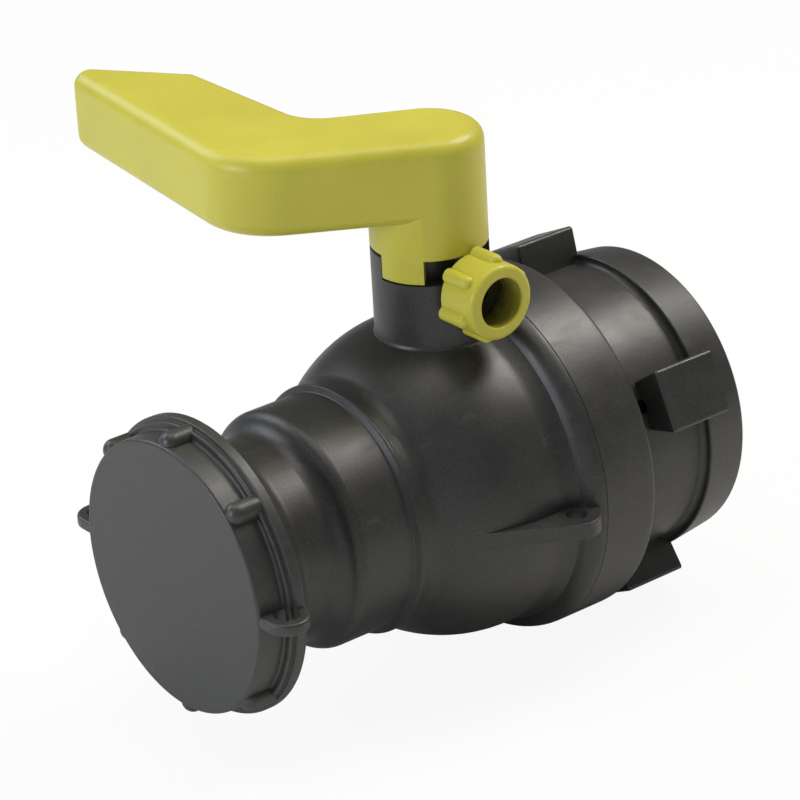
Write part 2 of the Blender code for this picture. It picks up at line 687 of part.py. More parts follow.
def rounded_blade(name, centre, material):
    bm = bmesh.new()
    face = bm.faces.new([bm.verts.new((x, y, BLADE_BOTTOM)) for x, y in blade_outline()])
    sides = bmesh.ops.extrude_face_region(bm, geom=[face])["geom"]
    moved = [item for item in sides if isinstance(item, bmesh.types.BMVert)]
    bmesh.ops.translate(bm, verts=moved, vec=(0, 0, BLADE_HEIGHT))
    top = [edge for edge in bm.edges if all(vert.co.z > LEVER_TOP - 0.01 * MM for vert in edge.verts)]
    bmesh.ops.bevel(bm, geom=top, offset=EDGE_ROUND, offset_type="OFFSET", affect="EDGES", segments=3,
                    profile=0.5, material=-1, clamp_overlap=True)
    return add_object(name, bm, centre, material)


def lever_foot_outline():
    """Hub under the blade, then the foot that reaches down inside the neck."""
    foot_r = NECK_BORE_R - GAP
    return [
        (0, LEVER_FOOT),
        (foot_r, LEVER_FOOT),
        (foot_r, HUB_BOTTOM),
        (NECK_R, HUB_BOTTOM),
        (NECK_R, LEVER_TOP - BLADE_ROOF),
        (0, LEVER_TOP - BLADE_ROOF),
    ]


def rib_outline(index):
    """Plan of a cross rib of the outer arm, from the middle of one wall to the middle of the other."""
    inner_corner, shoulder, _, elbow = blade_corners()
    foot = inner_corner + (shoulder - inner_corner) * (index + 0.5) / RIB_COUNT
    across = heading(OUTER_FAR_TURN + pi / 2)
    near_way = heading(OUTER_NEAR_TURN)
    length = (elbow - foot).cross(near_way) / across.cross(near_way)
    half = heading(OUTER_FAR_TURN) * RIB_THICKNESS / 2
    start = foot + across * BLADE_WALL / 2
    end = foot + across * (length - BLADE_WALL / 2)
    return [tuple(point) for point in (start - half, start + half, end + half, end - half)]


def handle(centre):
    """Cranked lever: a roofed channel with cross ribs, its hub, foot and the tab that turns in the notch."""
    obj = rounded_blade("handle", centre, yellow_polypropylene())
    roof = LEVER_TOP - BLADE_ROOF
    below = LEVER_FOOT - STEM_R
    cut(obj, extruded("pocket_tool", pocket_outline(), below, roof, "Z", centre))
    for index in range(RIB_COUNT):
        rib = extruded(f"rib_tool_{index + 1}", rib_outline(index), BLADE_BOTTOM + RIB_DROP,
                       roof + BLADE_ROOF / 2, "Z", centre)
        join(obj, rib)
    join(obj, turned("foot_tool", lever_foot_outline(), "Z", centre, None, NECK_STEPS))
    tab = sector("tab_tool", NECK_BORE_R - TAB_ROOT, NECK_R, TAB_FROM, TAB_TO, NOTCH_FLOOR + GAP,
                 (HUB_BOTTOM + BLADE_BOTTOM) / 2, centre)
    join(obj, tab)
    half = SQUARE / 2 + GAP
    cut(obj, extruded("socket_tool", oblong(half, half), below, SQUARE_TOP + GAP, "Z", centre))
    return obj


def lock_screw(centre):
    """Hollow thumb screw: ribbed head, bore open to the front, plain shank through the neck's wall."""
    front = LOCK_BACK + LOCK_HEAD_LENGTH
    bore_floor = front - LOCK_BORE_DEPTH
    step_floor = bore_floor - LOCK_STEP_DEPTH
    recess_in = LOCK_SEAL_R - LOCK_SEAL_SECTION - GAP
    recess_out = LOCK_SEAL_R + LOCK_SEAL_SECTION + GAP
    recess_floor = LOCK_BACK + 2 * LOCK_SEAL_SECTION
    tip = LOCK_BACK - LOCK_SHANK_LENGTH
    outline = [
        (0, tip),
        (LOCK_SHANK_R, tip),
        (LOCK_SHANK_R, LOCK_BACK),
        (recess_in, LOCK_BACK),
        (recess_in, recess_floor),
        (recess_out, recess_floor),
        (recess_out, LOCK_BACK),
        (LOCK_HEAD_R, LOCK_BACK, LOCK_BACK_ROUND),
        (LOCK_HEAD_R, front, LOCK_FRONT_ROUND),
        (LOCK_BORE_R, front),
        (LOCK_BORE_R, bore_floor),
        (LOCK_STEP_R, bore_floor),
        (LOCK_STEP_R, step_floor),
        (0, step_floor),
    ]
    obj = turned("lock_screw", rounded(outline), "X", centre, yellow_polypropylene(), SMALL_STEPS)
    obj.location.z = LOCK_HEIGHT
    for index in range(LOCK_RIB_COUNT):
        turn = LOCK_RIB_ANGLE + 2 * pi * index / LOCK_RIB_COUNT
        rib = turned(f"lock_rib_tool_{index + 1}", lock_rib_outline(), "X", centre, None, 8)
        reach = LOCK_HEAD_R + LOCK_RIB_RISE - LOCK_RIB_R
        rib.location = (0, reach * cos(turn), LOCK_HEIGHT + reach * sin(turn))
        join(obj, rib)
    return obj


def lock_rib_outline():
    """Half section of a grip rib: flat at the head's back, round at its front end."""
    start = LOCK_BACK + LOCK_BACK_ROUND
    end = start + LOCK_RIB_LENGTH
    front = [(radius, along) for along, radius in arc(LOCK_RIB_R, pi / 2, pi / 6, 2, (end - LOCK_RIB_R, 0))]
    return [(0, start), (LOCK_RIB_R, start), *front, (0, end)]


def dust_cap(centre):
    """Screwed cap: flat face, skirt with ribs, back flange and the two eared plates."""
    inner_r = THREAD_R + RUN + GAP
    flange_front = -CAP_BACK - CAP_FLANGE
    outline = [
        (0, -CAP_FRONT),
        (CAP_R, -CAP_FRONT, CAP_ROUND),
        (CAP_R, flange_front - CAP_STEP, CAP_ROUND),
        (CAP_FLANGE_R - CAP_RIM, flange_front - CAP_STEP),
        (CAP_FLANGE_R - CAP_RIM, flange_front),
        (CAP_FLANGE_R, flange_front),
        (CAP_FLANGE_R, -CAP_BACK),
        (inner_r, -CAP_BACK),
        (inner_r, -CAP_INNER_FACE),
        (0, -CAP_INNER_FACE),
    ]
    obj = turned("dust_cap", rounded(outline), "Y", centre, charcoal_polypropylene())
    half = CAP_RIB_WIDTH / 2
    rib_back = flange_front + CAP_RIM
    rib_front = rib_back - CAP_RIB_LENGTH
    inside = (inner_r + CAP_R) / 2
    for index in range(CAP_RIB_COUNT):
        turn = 2 * pi * index / CAP_RIB_COUNT
        side = 1 if index == 0 else -1
        if index in (0, CAP_RIB_COUNT // 2):
            middle = Vector((CAP_R + CAP_EAR_OUT, -CAP_FRONT + CAP_EAR_BACK))
            rim = arc(CAP_EAR_R, -pi / 2, pi / 2, 8, tuple(middle))
            plan = [(inside, middle.y - CAP_EAR_R)] + rim + [(inside, middle.y + CAP_EAR_R)]
            plan = [(side * x, y) for x, y in plan]
            ear = extruded(f"cap_ear_tool_{index}", plan, CAP_EAR_TOP - CAP_EAR_THICKNESS, CAP_EAR_TOP, "Z",
                           centre)
            join(obj, ear)
            hole = bar(f"cap_ear_hole_tool_{index}", CAP_EAR_HOLE_R, -CAP_EAR_THICKNESS,
                       2 * CAP_EAR_THICKNESS, "Z", centre, HOLE_STEPS)
            hole.location = (side * middle.x, middle.y, 0)
            cut(obj, hole)
            continue
        nose = arc(half, -pi / 2, -1.5 * pi, 5, (rib_front + half, 0))
        plan = [(rib_back, -half), *nose, (rib_back, half)]
        rib = extruded(f"cap_rib_tool_{index}", plan, inside, CAP_R + CAP_RIB_RISE, "X", centre)
        rib.rotation_euler = (0, -turn, 0)
        join(obj, rib)
    return obj


def union_nut(centre):
    """Turns on the shoulder ring's tail and screws onto the tank's neck; threads are left plain."""
    ring_front = NUT_END - NUT_RING_LENGTH
    bead_r = NUT_R + NUT_BEAD_RISE
    recess_r = SHOULDER_BOSS_R + RUN
    web_r = TAIL_R + RUN
    outline = [
        (NUT_R, NUT_FRONT, NUT_ROUND),
        (NUT_R, ring_front - NUT_BEAD_LENGTH),
        (bead_r, ring_front - NUT_BEAD_LENGTH + NUT_BEAD_ROUND),
        (bead_r, ring_front),
        (NUT_RING_R, ring_front),
        (NUT_RING_R - NUT_RING_TAPER, NUT_END, NUT_ROUND),
        (NUT_BORE_R, NUT_END),
        (NUT_BORE_R, WEB_BACK),
        (web_r, WEB_BACK),
        (web_r, WEB_FRONT),
        (recess_r, WEB_FRONT),
        (recess_r, NUT_FRONT),
    ]
    obj = turned("union_nut", rounded(outline), "Y", centre, black_polypropylene())
    base = NUT_BORE_R + LUG_ROOT
    half = LUG_WIDTH / 2
    lug_plan = [(base, -half + LUG_FLARE), (LUG_REACH, -half, LUG_ROUND), (LUG_REACH, half, LUG_ROUND),
                (base, half - LUG_FLARE)]
    for index in range(LUG_COUNT):
        turn = LUG_ANGLE + 2 * pi * index / LUG_COUNT
        lug = extruded(f"lug_tool_{index + 1}", rounded(lug_plan), LUG_FRONT, LUG_FRONT + LUG_LENGTH, "Y",
                       centre)
        lug.rotation_euler = (0, -turn, 0)
        join(obj, lug)
        hole = bar(f"lug_hole_tool_{index + 1}", LUG_HOLE_R, NUT_FRONT - LUG_HOLE_R,
                   LUG_FRONT + LUG_HOLE_DEPTH, "Y", centre, HOLE_STEPS)
        reach = NUT_R - LUG_HOLE_SINK
        hole.location = (reach * cos(turn), 0, reach * sin(turn))
        cut(obj, hole)
    return obj


def nut_retainer(centre):
    inner = TAIL_R - RETAINER_BITE + GAP
    outer = TAIL_R + RETAINER_RISE
    front, back = RETAINER_FRONT, RETAINER_BACK
    outline = [(inner, front), (outer, front), (outer, back), (inner, back)]
    obj = turned("nut_retainer", outline, "Y", centre, natural_acetal(), HIDDEN_STEPS)
    half = RETAINER_SPLIT / 2
    split = [(x, y - outer) for x, y in oblong(half, outer - inner + half)]
    cut(obj, extruded("split_tool", split, front - half, back + half, "Y", centre))
    return obj


def main():
    for obj in list(bpy.data.objects):
        bpy.data.objects.remove(obj, do_unlink=True)
    centre = bpy.data.objects.new("flow_centre", None)
    bpy.context.collection.objects.link(centre)
    centre.location.y = -NUT_END
    valve_body(centre)
    shoulder_ring(centre)
    seat("outlet_seat", -1, centre)
    seat("inlet_seat", 1, centre)
    ring_r = (SEAT_IN_R + SEAT_OUT_R) / 2
    ring_y = SEAT_BACK + GAP + SEAL_ROOM / 2
    ring("outlet_seat_ring", ring_r, SEAL_R, -ring_y, "Y", centre)
    ring("inlet_seat_ring", ring_r, SEAL_R, ring_y, "Y", centre)
    seal_y = SHOULDER_FRONT + FACE_SEAL_SECTION - GAP / 3
    ring("shoulder_seal", FACE_SEAL_R, FACE_SEAL_SECTION, seal_y, "Y", centre)
    ball(centre)
    stem(centre)
    lower, upper = stem_seal_heights()
    seal_r = STEM_R - STEM_SEAL_SECTION + 0.5 * GAP
    ring("stem_seal_lower", seal_r, STEM_SEAL_SECTION, lower, "Z", centre, 20)
    ring("stem_seal_upper", seal_r, STEM_SEAL_SECTION, upper, "Z", centre, 20)
    stem_bush(centre)
    handle(centre)
    lock_screw(centre)
    seal_x = LOCK_BACK + LOCK_SEAL_SECTION - GAP / 2
    lock_seal = ring("lock_seal", LOCK_SEAL_R, LOCK_SEAL_SECTION, seal_x, "X", centre, SMALL_STEPS)
    lock_seal.location.z = LOCK_HEIGHT
    dust_cap(centre)
    washer("cap_gasket", THREAD_R - CAP_GASKET_WIDTH, THREAD_R, -SPIGOT_LENGTH - GAP - CAP_GASKET,
           -SPIGOT_LENGTH - GAP, centre)
    union_nut(centre)
    nut_retainer(centre)
    washer("inlet_gasket", BORE_R + GAP, BORE_R + GAP + INLET_GASKET_WIDTH, TAIL_END + GAP,
           TAIL_END + GAP + INLET_GASKET_THICKNESS, centre)


main()
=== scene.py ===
from math import atan2, copysign, cos, degrees, pi, radians, sin, sqrt, tan

import bmesh
import bpy
from mathutils import Matrix, Vector


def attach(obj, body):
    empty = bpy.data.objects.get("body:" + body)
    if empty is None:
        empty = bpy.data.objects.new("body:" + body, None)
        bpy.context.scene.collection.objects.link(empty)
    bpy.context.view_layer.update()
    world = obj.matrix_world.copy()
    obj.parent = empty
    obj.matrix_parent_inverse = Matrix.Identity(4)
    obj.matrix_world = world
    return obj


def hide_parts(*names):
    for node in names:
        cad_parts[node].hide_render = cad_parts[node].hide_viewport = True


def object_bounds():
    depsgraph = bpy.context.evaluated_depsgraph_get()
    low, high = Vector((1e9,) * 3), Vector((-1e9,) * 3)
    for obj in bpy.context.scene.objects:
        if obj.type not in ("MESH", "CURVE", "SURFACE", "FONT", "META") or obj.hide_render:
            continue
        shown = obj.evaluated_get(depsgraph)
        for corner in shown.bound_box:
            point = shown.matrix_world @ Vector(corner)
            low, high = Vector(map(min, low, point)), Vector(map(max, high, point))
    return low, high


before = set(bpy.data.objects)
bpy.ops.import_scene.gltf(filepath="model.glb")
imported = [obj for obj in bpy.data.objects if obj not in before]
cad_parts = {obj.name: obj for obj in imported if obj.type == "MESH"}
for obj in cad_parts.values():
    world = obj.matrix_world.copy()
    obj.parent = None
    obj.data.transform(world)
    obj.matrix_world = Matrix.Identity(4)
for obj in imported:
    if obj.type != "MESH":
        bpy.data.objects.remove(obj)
cadLow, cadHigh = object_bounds()
print("frame loaded:", len(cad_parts), "nodes")

# shapes are drawn in mm round the point where the stem's axis crosses the flow
mm = 0.001
stemPlace = Vector((0, -0.065, 0))
scene = bpy.context.scene

mergeDistance = 0.0005
touching = 0.01  # how near an edge has to lie to a plane to count as on it
arcStep = radians(7)  # of a rounded corner
sideShare = 0.95  # a rounding uses no more of the sides beside it
domeShare = 0.95  # rounding of a rib's domed end, as a share of its radius
softenedFrom = radians(35)
smoothBelow = radians(32)


def onAxis(axis, u, v, along):  # a point from its two cross directions and its place along the axis
    return {"X": (along, u, v), "Y": (u, along, v), "Z": (u, v, along)}[axis]


def withTurns(corners):
    # corners are (u, v), (u, v, rounding) or {"turn", "steps"}, which carries the last point round the origin
    points, roundings = [], {}
    for corner in corners:
        if isinstance(corner, dict):
            last = Vector(points[-1])
            for step in range(1, corner["steps"] + 1):
                turn = Matrix.Rotation(radians(corner["turn"]) * step / corner["steps"], 2)
                points.append((turn @ last).to_tuple())
            continue
        points.append(corner[:2])
        if len(corner) > 2:
            roundings[len(points) - 1] = corner[2]
    return points, roundings


def roundedCorner(here, before, after, rounding):
    back, ahead = before - here, after - here
    half = back.angle(ahead) / 2
    reach = min(rounding / tan(half), sideShare * back.length, sideShare * ahead.length)
    centre = here + (back.normalized() + ahead.normalized()).normalized() * reach / cos(half)
    spoke = here + back.normalized() * reach - centre
    sweep = copysign(pi - 2 * half, ahead.cross(back))
    segments = max(3, round(abs(sweep) / arcStep))
    return [(centre + Matrix.Rotation(sweep * step / segments, 2) @ spoke).to_tuple()
            for step in range(segments + 1)]


def roundedLoop(bm, corners, place, alongAxis=False):
    points, roundings = withTurns(corners)
    outline = []
    for index, point in enumerate(points):
        if index in roundings:
            before, after = Vector(points[index - 1]), Vector(points[(index + 1) % len(points)])
            outline += roundedCorner(Vector(point), before, after, roundings[index])
        else:
            outline.append(point)
    verts = [bm.verts.new(place(*point)) for point in outline]
    for index, vert in enumerate(verts):
        after = (index + 1) % len(verts)
        if alongAxis and max(outline[index][0], outline[after][0]) == 0:
            continue  # the side that lies on the axis makes no surface
        bm.edges.new((vert, verts[after]))


def arcPoints(centre, radius, start, end, steps):  # in radians, without its first point
    turns = [start + (end - start) * step / steps for step in range(1, steps + 1)]
    return [(centre[0] + radius * cos(turn), centre[1] + radius * sin(turn)) for turn in turns]


def turnedShape(corners, axis="Y", steps=128):
    bm = bmesh.new()
    roundedLoop(bm, corners, lambda u, v: onAxis(axis, u, 0, v), alongAxis=True)
    bmesh.ops.spin(bm, geom=bm.verts[:] + bm.edges[:], axis=onAxis(axis, 0, 0, 1), cent=(0, 0, 0),
                   angle=2 * pi, steps=steps, use_merge=True, use_duplicate=False)
    bmesh.ops.remove_doubles(bm, verts=bm.verts, dist=mergeDistance)
    bmesh.ops.recalc_face_normals(bm, faces=bm.faces)
    return bm


def plainRod(radius, low, high, axis="Z", steps=48):
    return turnedShape([(0, low), (radius, low), (radius, high), (0, high)], axis, steps)


def pushedShape(corners, low, high, axis="Z"):
    bm = bmesh.new()
    roundedLoop(bm, corners, lambda u, v: onAxis(axis, u, v, low))
    bmesh.ops.contextual_create(bm, geom=bm.edges[:])
    grown = bmesh.ops.extrude_face_region(bm, geom=bm.faces[:])["geom"]
    lifted = [item for item in grown if isinstance(item, bmesh.types.BMVert)]
    bmesh.ops.translate(bm, verts=lifted, vec=onAxis(axis, 0, 0, high - low))
    bmesh.ops.recalc_face_normals(bm, faces=bm.faces)
    return bm


def plainBlock(uEnds, vEnds, low, high, axis="Z", rounding=0):
    corners = [(uEnds[0], vEnds[0]), (uEnds[1], vEnds[0]), (uEnds[1], vEnds[1]), (uEnds[0], vEnds[1])]
    if rounding:
        corners = [(u, v, rounding) for u, v in corners]
    return pushedShape(corners, low, high, axis)


def softenEdges(bm, width, chosen, segments=3, clamped=True):
    edges = [edge for edge in bm.edges
             if edge.is_manifold and edge.calc_face_angle() > softenedFrom and chosen(edge)]
    bmesh.ops.bevel(bm, geom=edges, offset=width, offset_type="OFFSET", affect="EDGES", segments=segments,
                    profile=0.5, material=-1, clamp_overlap=clamped)
    return bm


def isLevel(edge):
    return abs(edge.verts[0].co.z - edge.verts[1].co.z) < touching


def moved(bm, offset=(0, 0, 0), turn=0, axis="Y"):  # a turn about the axis comes after the move
    bmesh.ops.translate(bm, verts=bm.verts, vec=offset)
    bmesh.ops.rotate(bm, verts=bm.verts, cent=(0, 0, 0), matrix=Matrix.Rotation(radians(turn), 3, axis))
    return bm


threadSize = {"pitch": 6.0, "rootShare": 0.30, "crestShare": 0.14, "stepsPerTurn": 96}


def threadRidge(sunkR, crestR, start, end):
    # one trapezium carried round a right-hand helix; sunkR lies a little inside the wall that carries it
    pitch, stepsPerTurn = threadSize["pitch"], threadSize["stepsPerTurn"]
    rootHalf, crestHalf = threadSize["rootShare"] * pitch, threadSize["crestShare"] * pitch
    turns = (end - start - 2 * rootHalf) / pitch
    bm = bmesh.new()
    outline = [(sunkR, start), (crestR, start + rootHalf - crestHalf),
               (crestR, start + rootHalf + crestHalf), (sunkR, start + 2 * rootHalf)]
    face = bm.faces.new([bm.verts.new((radius, along, 0)) for radius, along in outline])
    bmesh.ops.spin(bm, geom=[face, *face.edges, *face.verts], axis=(0, 1, 0), cent=(0, 0, 0),
                   angle=2 * pi * turns, steps=round(stepsPerTurn * turns),
                   dvec=(0, pitch / stepsPerTurn, 0), use_duplicate=False)
    bmesh.ops.recalc_face_normals(bm, faces=bm.faces)
    return bm


def asObject(bm, name):
    mesh = bpy.data.meshes.new(name)
    bm.to_mesh(mesh)
    bm.free()
    obj = bpy.data.objects.new(name, mesh)
    scene.collection.objects.link(obj)
    return obj


def carve(base, steps):
    # every step is ("UNION" or "DIFFERENCE", tool as a bmesh)
    obj = asObject(base, "carved")
    tools = []
    for number, (operation, bm) in enumerate(steps):
        tool = asObject(bm, f"tool{number}")
        modifier = obj.modifiers.new(tool.name, "BOOLEAN")
        modifier.operation = operation
        modifier.solver = "EXACT"
        modifier.object = tool
        tools.append(tool)
    bpy.context.view_layer.update()
    shape = bpy.data.meshes.new_from_object(obj.evaluated_get(bpy.context.evaluated_depsgraph_get()))
    bm = bmesh.new()
    bm.from_mesh(shape)
    for spare in [obj, *tools]:
        mesh = spare.data
        bpy.data.objects.remove(spare)
        bpy.data.meshes.remove(mesh)
    bpy.data.meshes.remove(shape)
    return bm


def finishPiece(bm, name, body, nodes, material):
    bmesh.ops.remove_doubles(bm, verts=bm.verts, dist=mergeDistance)
    bmesh.ops.scale(bm, verts=bm.verts, vec=(mm, mm, mm))
    bmesh.ops.translate(bm, verts=bm.verts, vec=stemPlace)
    obj = asObject(bm, name)
    obj.data.materials.append(material)
    obj.data.shade_smooth()
    obj.data.set_sharp_from_angle(angle=smoothBelow)
    weighted = obj.modifiers.new("evenShading", "WEIGHTED_NORMAL")
    weighted.keep_sharp = True
    weighted.weight = 60
    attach(obj, body)
    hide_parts(*nodes)
    print("piece", name, len(obj.data.polygons), "faces")
    return obj


def hexColour(text):  # sRGB hex to the linear values that shader sockets take
    channels = [int(text[place:place + 2], 16) / 255 for place in (1, 3, 5)]
    return (*[c / 12.92 if c <= 0.04045 else ((c + 0.055) / 1.055) ** 2.4 for c in channels], 1)


def addNode(tree, kind, inputs=None, **settings):
    node = tree.nodes.new(kind)
    for key, value in settings.items():
        setattr(node, key, value)
    for socket, value in (inputs or {}).items():
        if isinstance(value, bpy.types.NodeSocket):
            tree.links.new(value, node.inputs[socket])
        else:
            node.inputs[socket].default_value = value
    return node


def noiseOf(tree, place, size, detail, roughness):  # size of its cells in mm
    return addNode(tree, "ShaderNodeTexNoise", {"Vector": place, "Scale": 1 / (size * mm), "Detail": detail,
                                                "Roughness": roughness}).outputs["Fac"]


def stretched(tree, place, scale):
    return addNode(tree, "ShaderNodeMapping", {"Vector": place, "Scale": scale}).outputs["Vector"]


def ramped(tree, factor, stops):  # stops are (place, hex colour)
    node = addNode(tree, "ShaderNodeValToRGB", {"Fac": factor})
    while len(node.color_ramp.elements) < len(stops):
        node.color_ramp.elements.new(0.5)
    for element, (place, colour) in zip(node.color_ramp.elements, stops):
        element.position = place
        element.color = hexColour(colour)
    return node.outputs["Color"]


def ranged(tree, value, ends, results):
    return addNode(tree, "ShaderNodeMapRange", {"Value": value, "From Min": ends[0], "From Max": ends[1],
                                                "To Min": results[0], "To Max": results[1]}).outputs["Result"]


def added(tree, first, second):
    return addNode(tree, "ShaderNodeMath", {0: first, 1: second}, operation="ADD").outputs[0]


def blended(tree, factor, first, second, mode="MIX"):
    node = addNode(tree, "ShaderNodeMix", {0: factor, 6: first, 7: second}, data_type="RGBA", blend_type=mode)
    return node.outputs[2]


def bumped(tree, height, depth, strength=1.0, under=None):  # depth in mm, under is the normal it adds to
    inputs = {"Height": height, "Distance": depth * mm, "Strength": strength}
    if under:
        inputs["Normal"] = under
    return addNode(tree, "ShaderNodeBump", inputs).outputs["Normal"]


def newMaterial(name):
    material = bpy.data.materials.new(name)
    material.use_nodes = True
    return material, material.node_tree, material.node_tree.nodes["Principled BSDF"]


def objectPlace(tree):
    return addNode(tree, "ShaderNodeTexCoord").outputs["Object"]


def setShader(tree, shader, colour, roughness, normal, refraction):
    for socket, value in (("Base Color", colour), ("Roughness", roughness), ("Normal", normal)):
        tree.links.new(value, shader.inputs[socket])
    shader.inputs["IOR"].default_value = refraction


# every noise is the size of its cells in mm, its detail and its roughness
mouldedLook = {
    "cloudStops": (0.30, 0.50, 0.72), "speckleStops": (0.36, 0.50, 0.64), "speckleMiddle": "#808080",
    "scuffEnds": (0.60, 0.74), "glossEnds": (0.25, 0.75), "scuffedEnds": (0.5, 0.75), "scuffedRough": 0.08,
    "wave": (14.0, 1.0, 0.5), "waveDepth": 0.12, "waveStrength": 0.18, "refraction": 1.49,
}
# injection-moulded polypropylene, carbon black: satin, with the fine pale grit of a spark-eroded mould
charcoalLook = {
    **mouldedLook, "colour": "#363636", "dark": "#333333", "light": "#3a3a39", "cloud": (9.0, 3.0, 0.55),
    "speckle": (0.45, 1.0, 0.6), "speckleShare": 0.6, "speckleDark": "#5a5a5a", "speckleLight": "#aaaaa8",
    "scuff": (2.6, 4.0, 0.7), "scuffStretch": (1.0, 0.35, 1.0), "scuffShare": 0.25, "scuffColour": "#5a5a58",
    "roughEnds": (0.36, 0.46), "grain": (0.42, 2.0, 0.6), "grainDepth": 0.05, "grainStrength": 0.8,
    "specular": 0.6,
}
blackLook = {**charcoalLook, "colour": "#393938", "dark": "#333333", "light": "#40403f"}
capLook = {**charcoalLook, "colour": "#393938", "dark": "#353534", "light": "#3d3d3c", "speckleShare": 0.35}
# injection-moulded polypropylene, masterbatch yellow: a little glossier, with faint flow clouds
yellowLook = {
    **mouldedLook, "colour": "#cbc547", "dark": "#c7c144", "light": "#cfc94a", "cloud": (24.0, 3.0, 0.55),
    "speckle": (0.5, 1.0, 0.6), "speckleShare": 0.18, "speckleDark": "#6a6a60", "speckleLight": "#969690",
    "scuff": (2.2, 4.0, 0.7), "scuffStretch": (0.4, 1.0, 1.0), "scuffShare": 0.08, "scuffColour": "#b5ad3d",
    "roughEnds": (0.32, 0.40), "grain": (0.5, 2.0, 0.6), "grainDepth": 0.02, "grainStrength": 0.35,
    "specular": 0.45,
}
# the same yellow polypropylene inside the lock screw's bore, with painted shade: darker towards the floor of
# the bore, varied by a random mottle
boreShadeLook = {
    "mottle": (2.0, 4.0, 0.6), "mottleEnds": (0.3, 0.7), "mottleShift": (-0.12, 0.12),
    "stops": [(0.05, "#b5ad3d"), (0.55, "#8a8538"), (0.95, "#35341a")], "roughEnds": (0.45, 0.65),
    "grain": (0.5, 2.0, 0.5), "grainDepth": 0.03, "refraction": 1.49,
}
# waxy white seat rings with faint lathe lines
fluoropolymerLook = {
    "cloud": (5.0, 2.0, 0.5), "stops": [(0.3, "#dddcd6"), (0.7, "#eeede8")], "roughEnds": (0.42, 0.52),
    "grain": (0.3, 2.0, 0.5), "grainStretch": (0.05, 1, 0.05), "grainDepth": 0.02, "refraction": 1.35,
}
# unpigmented acetal: off-white, slightly milky, machined smooth
acetalLook = {
    "cloud": (4.0, 3.0, 0.5), "stops": [(0.3, "#cfccbf"), (0.7, "#dedbd0")], "roughEnds": (0.30, 0.40),
    "grain": (0.4, 2.0, 0.5), "grainStretch": (1, 1, 1), "grainDepth": 0.01, "refraction": 1.48,
}
# pressed seal rubber: matt black with a grey bloom
rubberLook = {
    "cloud": (3.0, 4.0, 0.65), "stops": [(0.35, "#1b1b1b"), (0.75, "#2c2c2c")], "roughEnds": (0.62, 0.78),
    "grain": (0.25, 3.0, 0.5), "grainStretch": (1, 1, 1), "grainDepth": 0.02, "refraction": 1.52,
}


def mouldedPlastic(name, look):
    material, tree, shader = newMaterial(name)
    place = objectPlace(tree)
    speckle = noiseOf(tree, place, *look["speckle"])
    cloud = noiseOf(tree, place, *look["cloud"])
    scuff = noiseOf(tree, stretched(tree, place, look["scuffStretch"]), *look["scuff"])
    tone = ramped(tree, cloud, list(zip(look["cloudStops"], (look["dark"], look["colour"], look["light"]))))
    grit = ramped(tree, speckle, list(zip(look["speckleStops"], (look["speckleDark"], look["speckleMiddle"],
                                                                 look["speckleLight"]))))
    colour = blended(tree, look["speckleShare"], tone, grit, "OVERLAY")
    worn = ranged(tree, scuff, look["scuffEnds"], (0.0, look["scuffShare"]))
    colour = blended(tree, worn, colour, hexColour(look["scuffColour"]))
    gloss = added(tree, ranged(tree, cloud, look["glossEnds"], look["roughEnds"]),
                  ranged(tree, scuff, look["scuffedEnds"], (0.0, look["scuffedRough"])))
    grain = bumped(tree, noiseOf(tree, place, *look["grain"]), look["grainDepth"], look["grainStrength"])
    wave = bumped(tree, noiseOf(tree, place, *look["wave"]), look["waveDepth"], look["waveStrength"], grain)
    setShader(tree, shader, colour, gloss, wave, look["refraction"])
    shader.inputs["Specular IOR Level"].default_value = look["specular"]
    return material


# painted shade: the bore's faces darken with depth, as shade falls inside the recess
def yellowWithPaintedShade(look, front, floor):  # darker towards the floor of the bore
    material, tree, shader = newMaterial("yellow polypropylene with painted bore shade")
    place = objectPlace(tree)
    along = addNode(tree, "ShaderNodeSeparateXYZ", {"Vector": place}).outputs["X"]
    # painted shade: 0 at the bore's mouth, 1 at its floor, shifted a little by the mottle
    depth = ranged(tree, along, (front * mm, floor * mm), (0.0, 1.0))
    mottle = noiseOf(tree, place, *look["mottle"])
    paintedShade = added(tree, depth, ranged(tree, mottle, look["mottleEnds"], look["mottleShift"]))
    rough = ranged(tree, mottle, look["mottleEnds"], look["roughEnds"])
    grain = bumped(tree, noiseOf(tree, place, *look["grain"]), look["grainDepth"])
    setShader(tree, shader, ramped(tree, paintedShade, look["stops"]), rough, grain, look["refraction"])
    return material


def cloudedMaterial(name, look):
    material, tree, shader = newMaterial(name)
    place = objectPlace(tree)
    cloud = noiseOf(tree, place, *look["cloud"])
    rough = ranged(tree, cloud, (0.3, 0.7), look["roughEnds"])
    grain = noiseOf(tree, stretched(tree, place, look["grainStretch"]), *look["grain"])
    normal = bumped(tree, grain, look["grainDepth"])
    setShader(tree, shader, ramped(tree, cloud, look["stops"]), rough, normal, look["refraction"])
    return material


charcoal = mouldedPlastic("moulded charcoal polypropylene", charcoalLook)
blackPlastic = mouldedPlastic("moulded black polypropylene", blackLook)
capPlastic = mouldedPlastic("moulded cap polypropylene", capLook)
yellowPlastic = mouldedPlastic("moulded yellow polypropylene", yellowLook)
seatPlastic = cloudedMaterial("turned fluoropolymer", fluoropolymerLook)
acetal = cloudedMaterial("natural acetal", acetalLook)
rubber = cloudedMaterial("moulded seal rubber", rubberLook)
print("materials made")


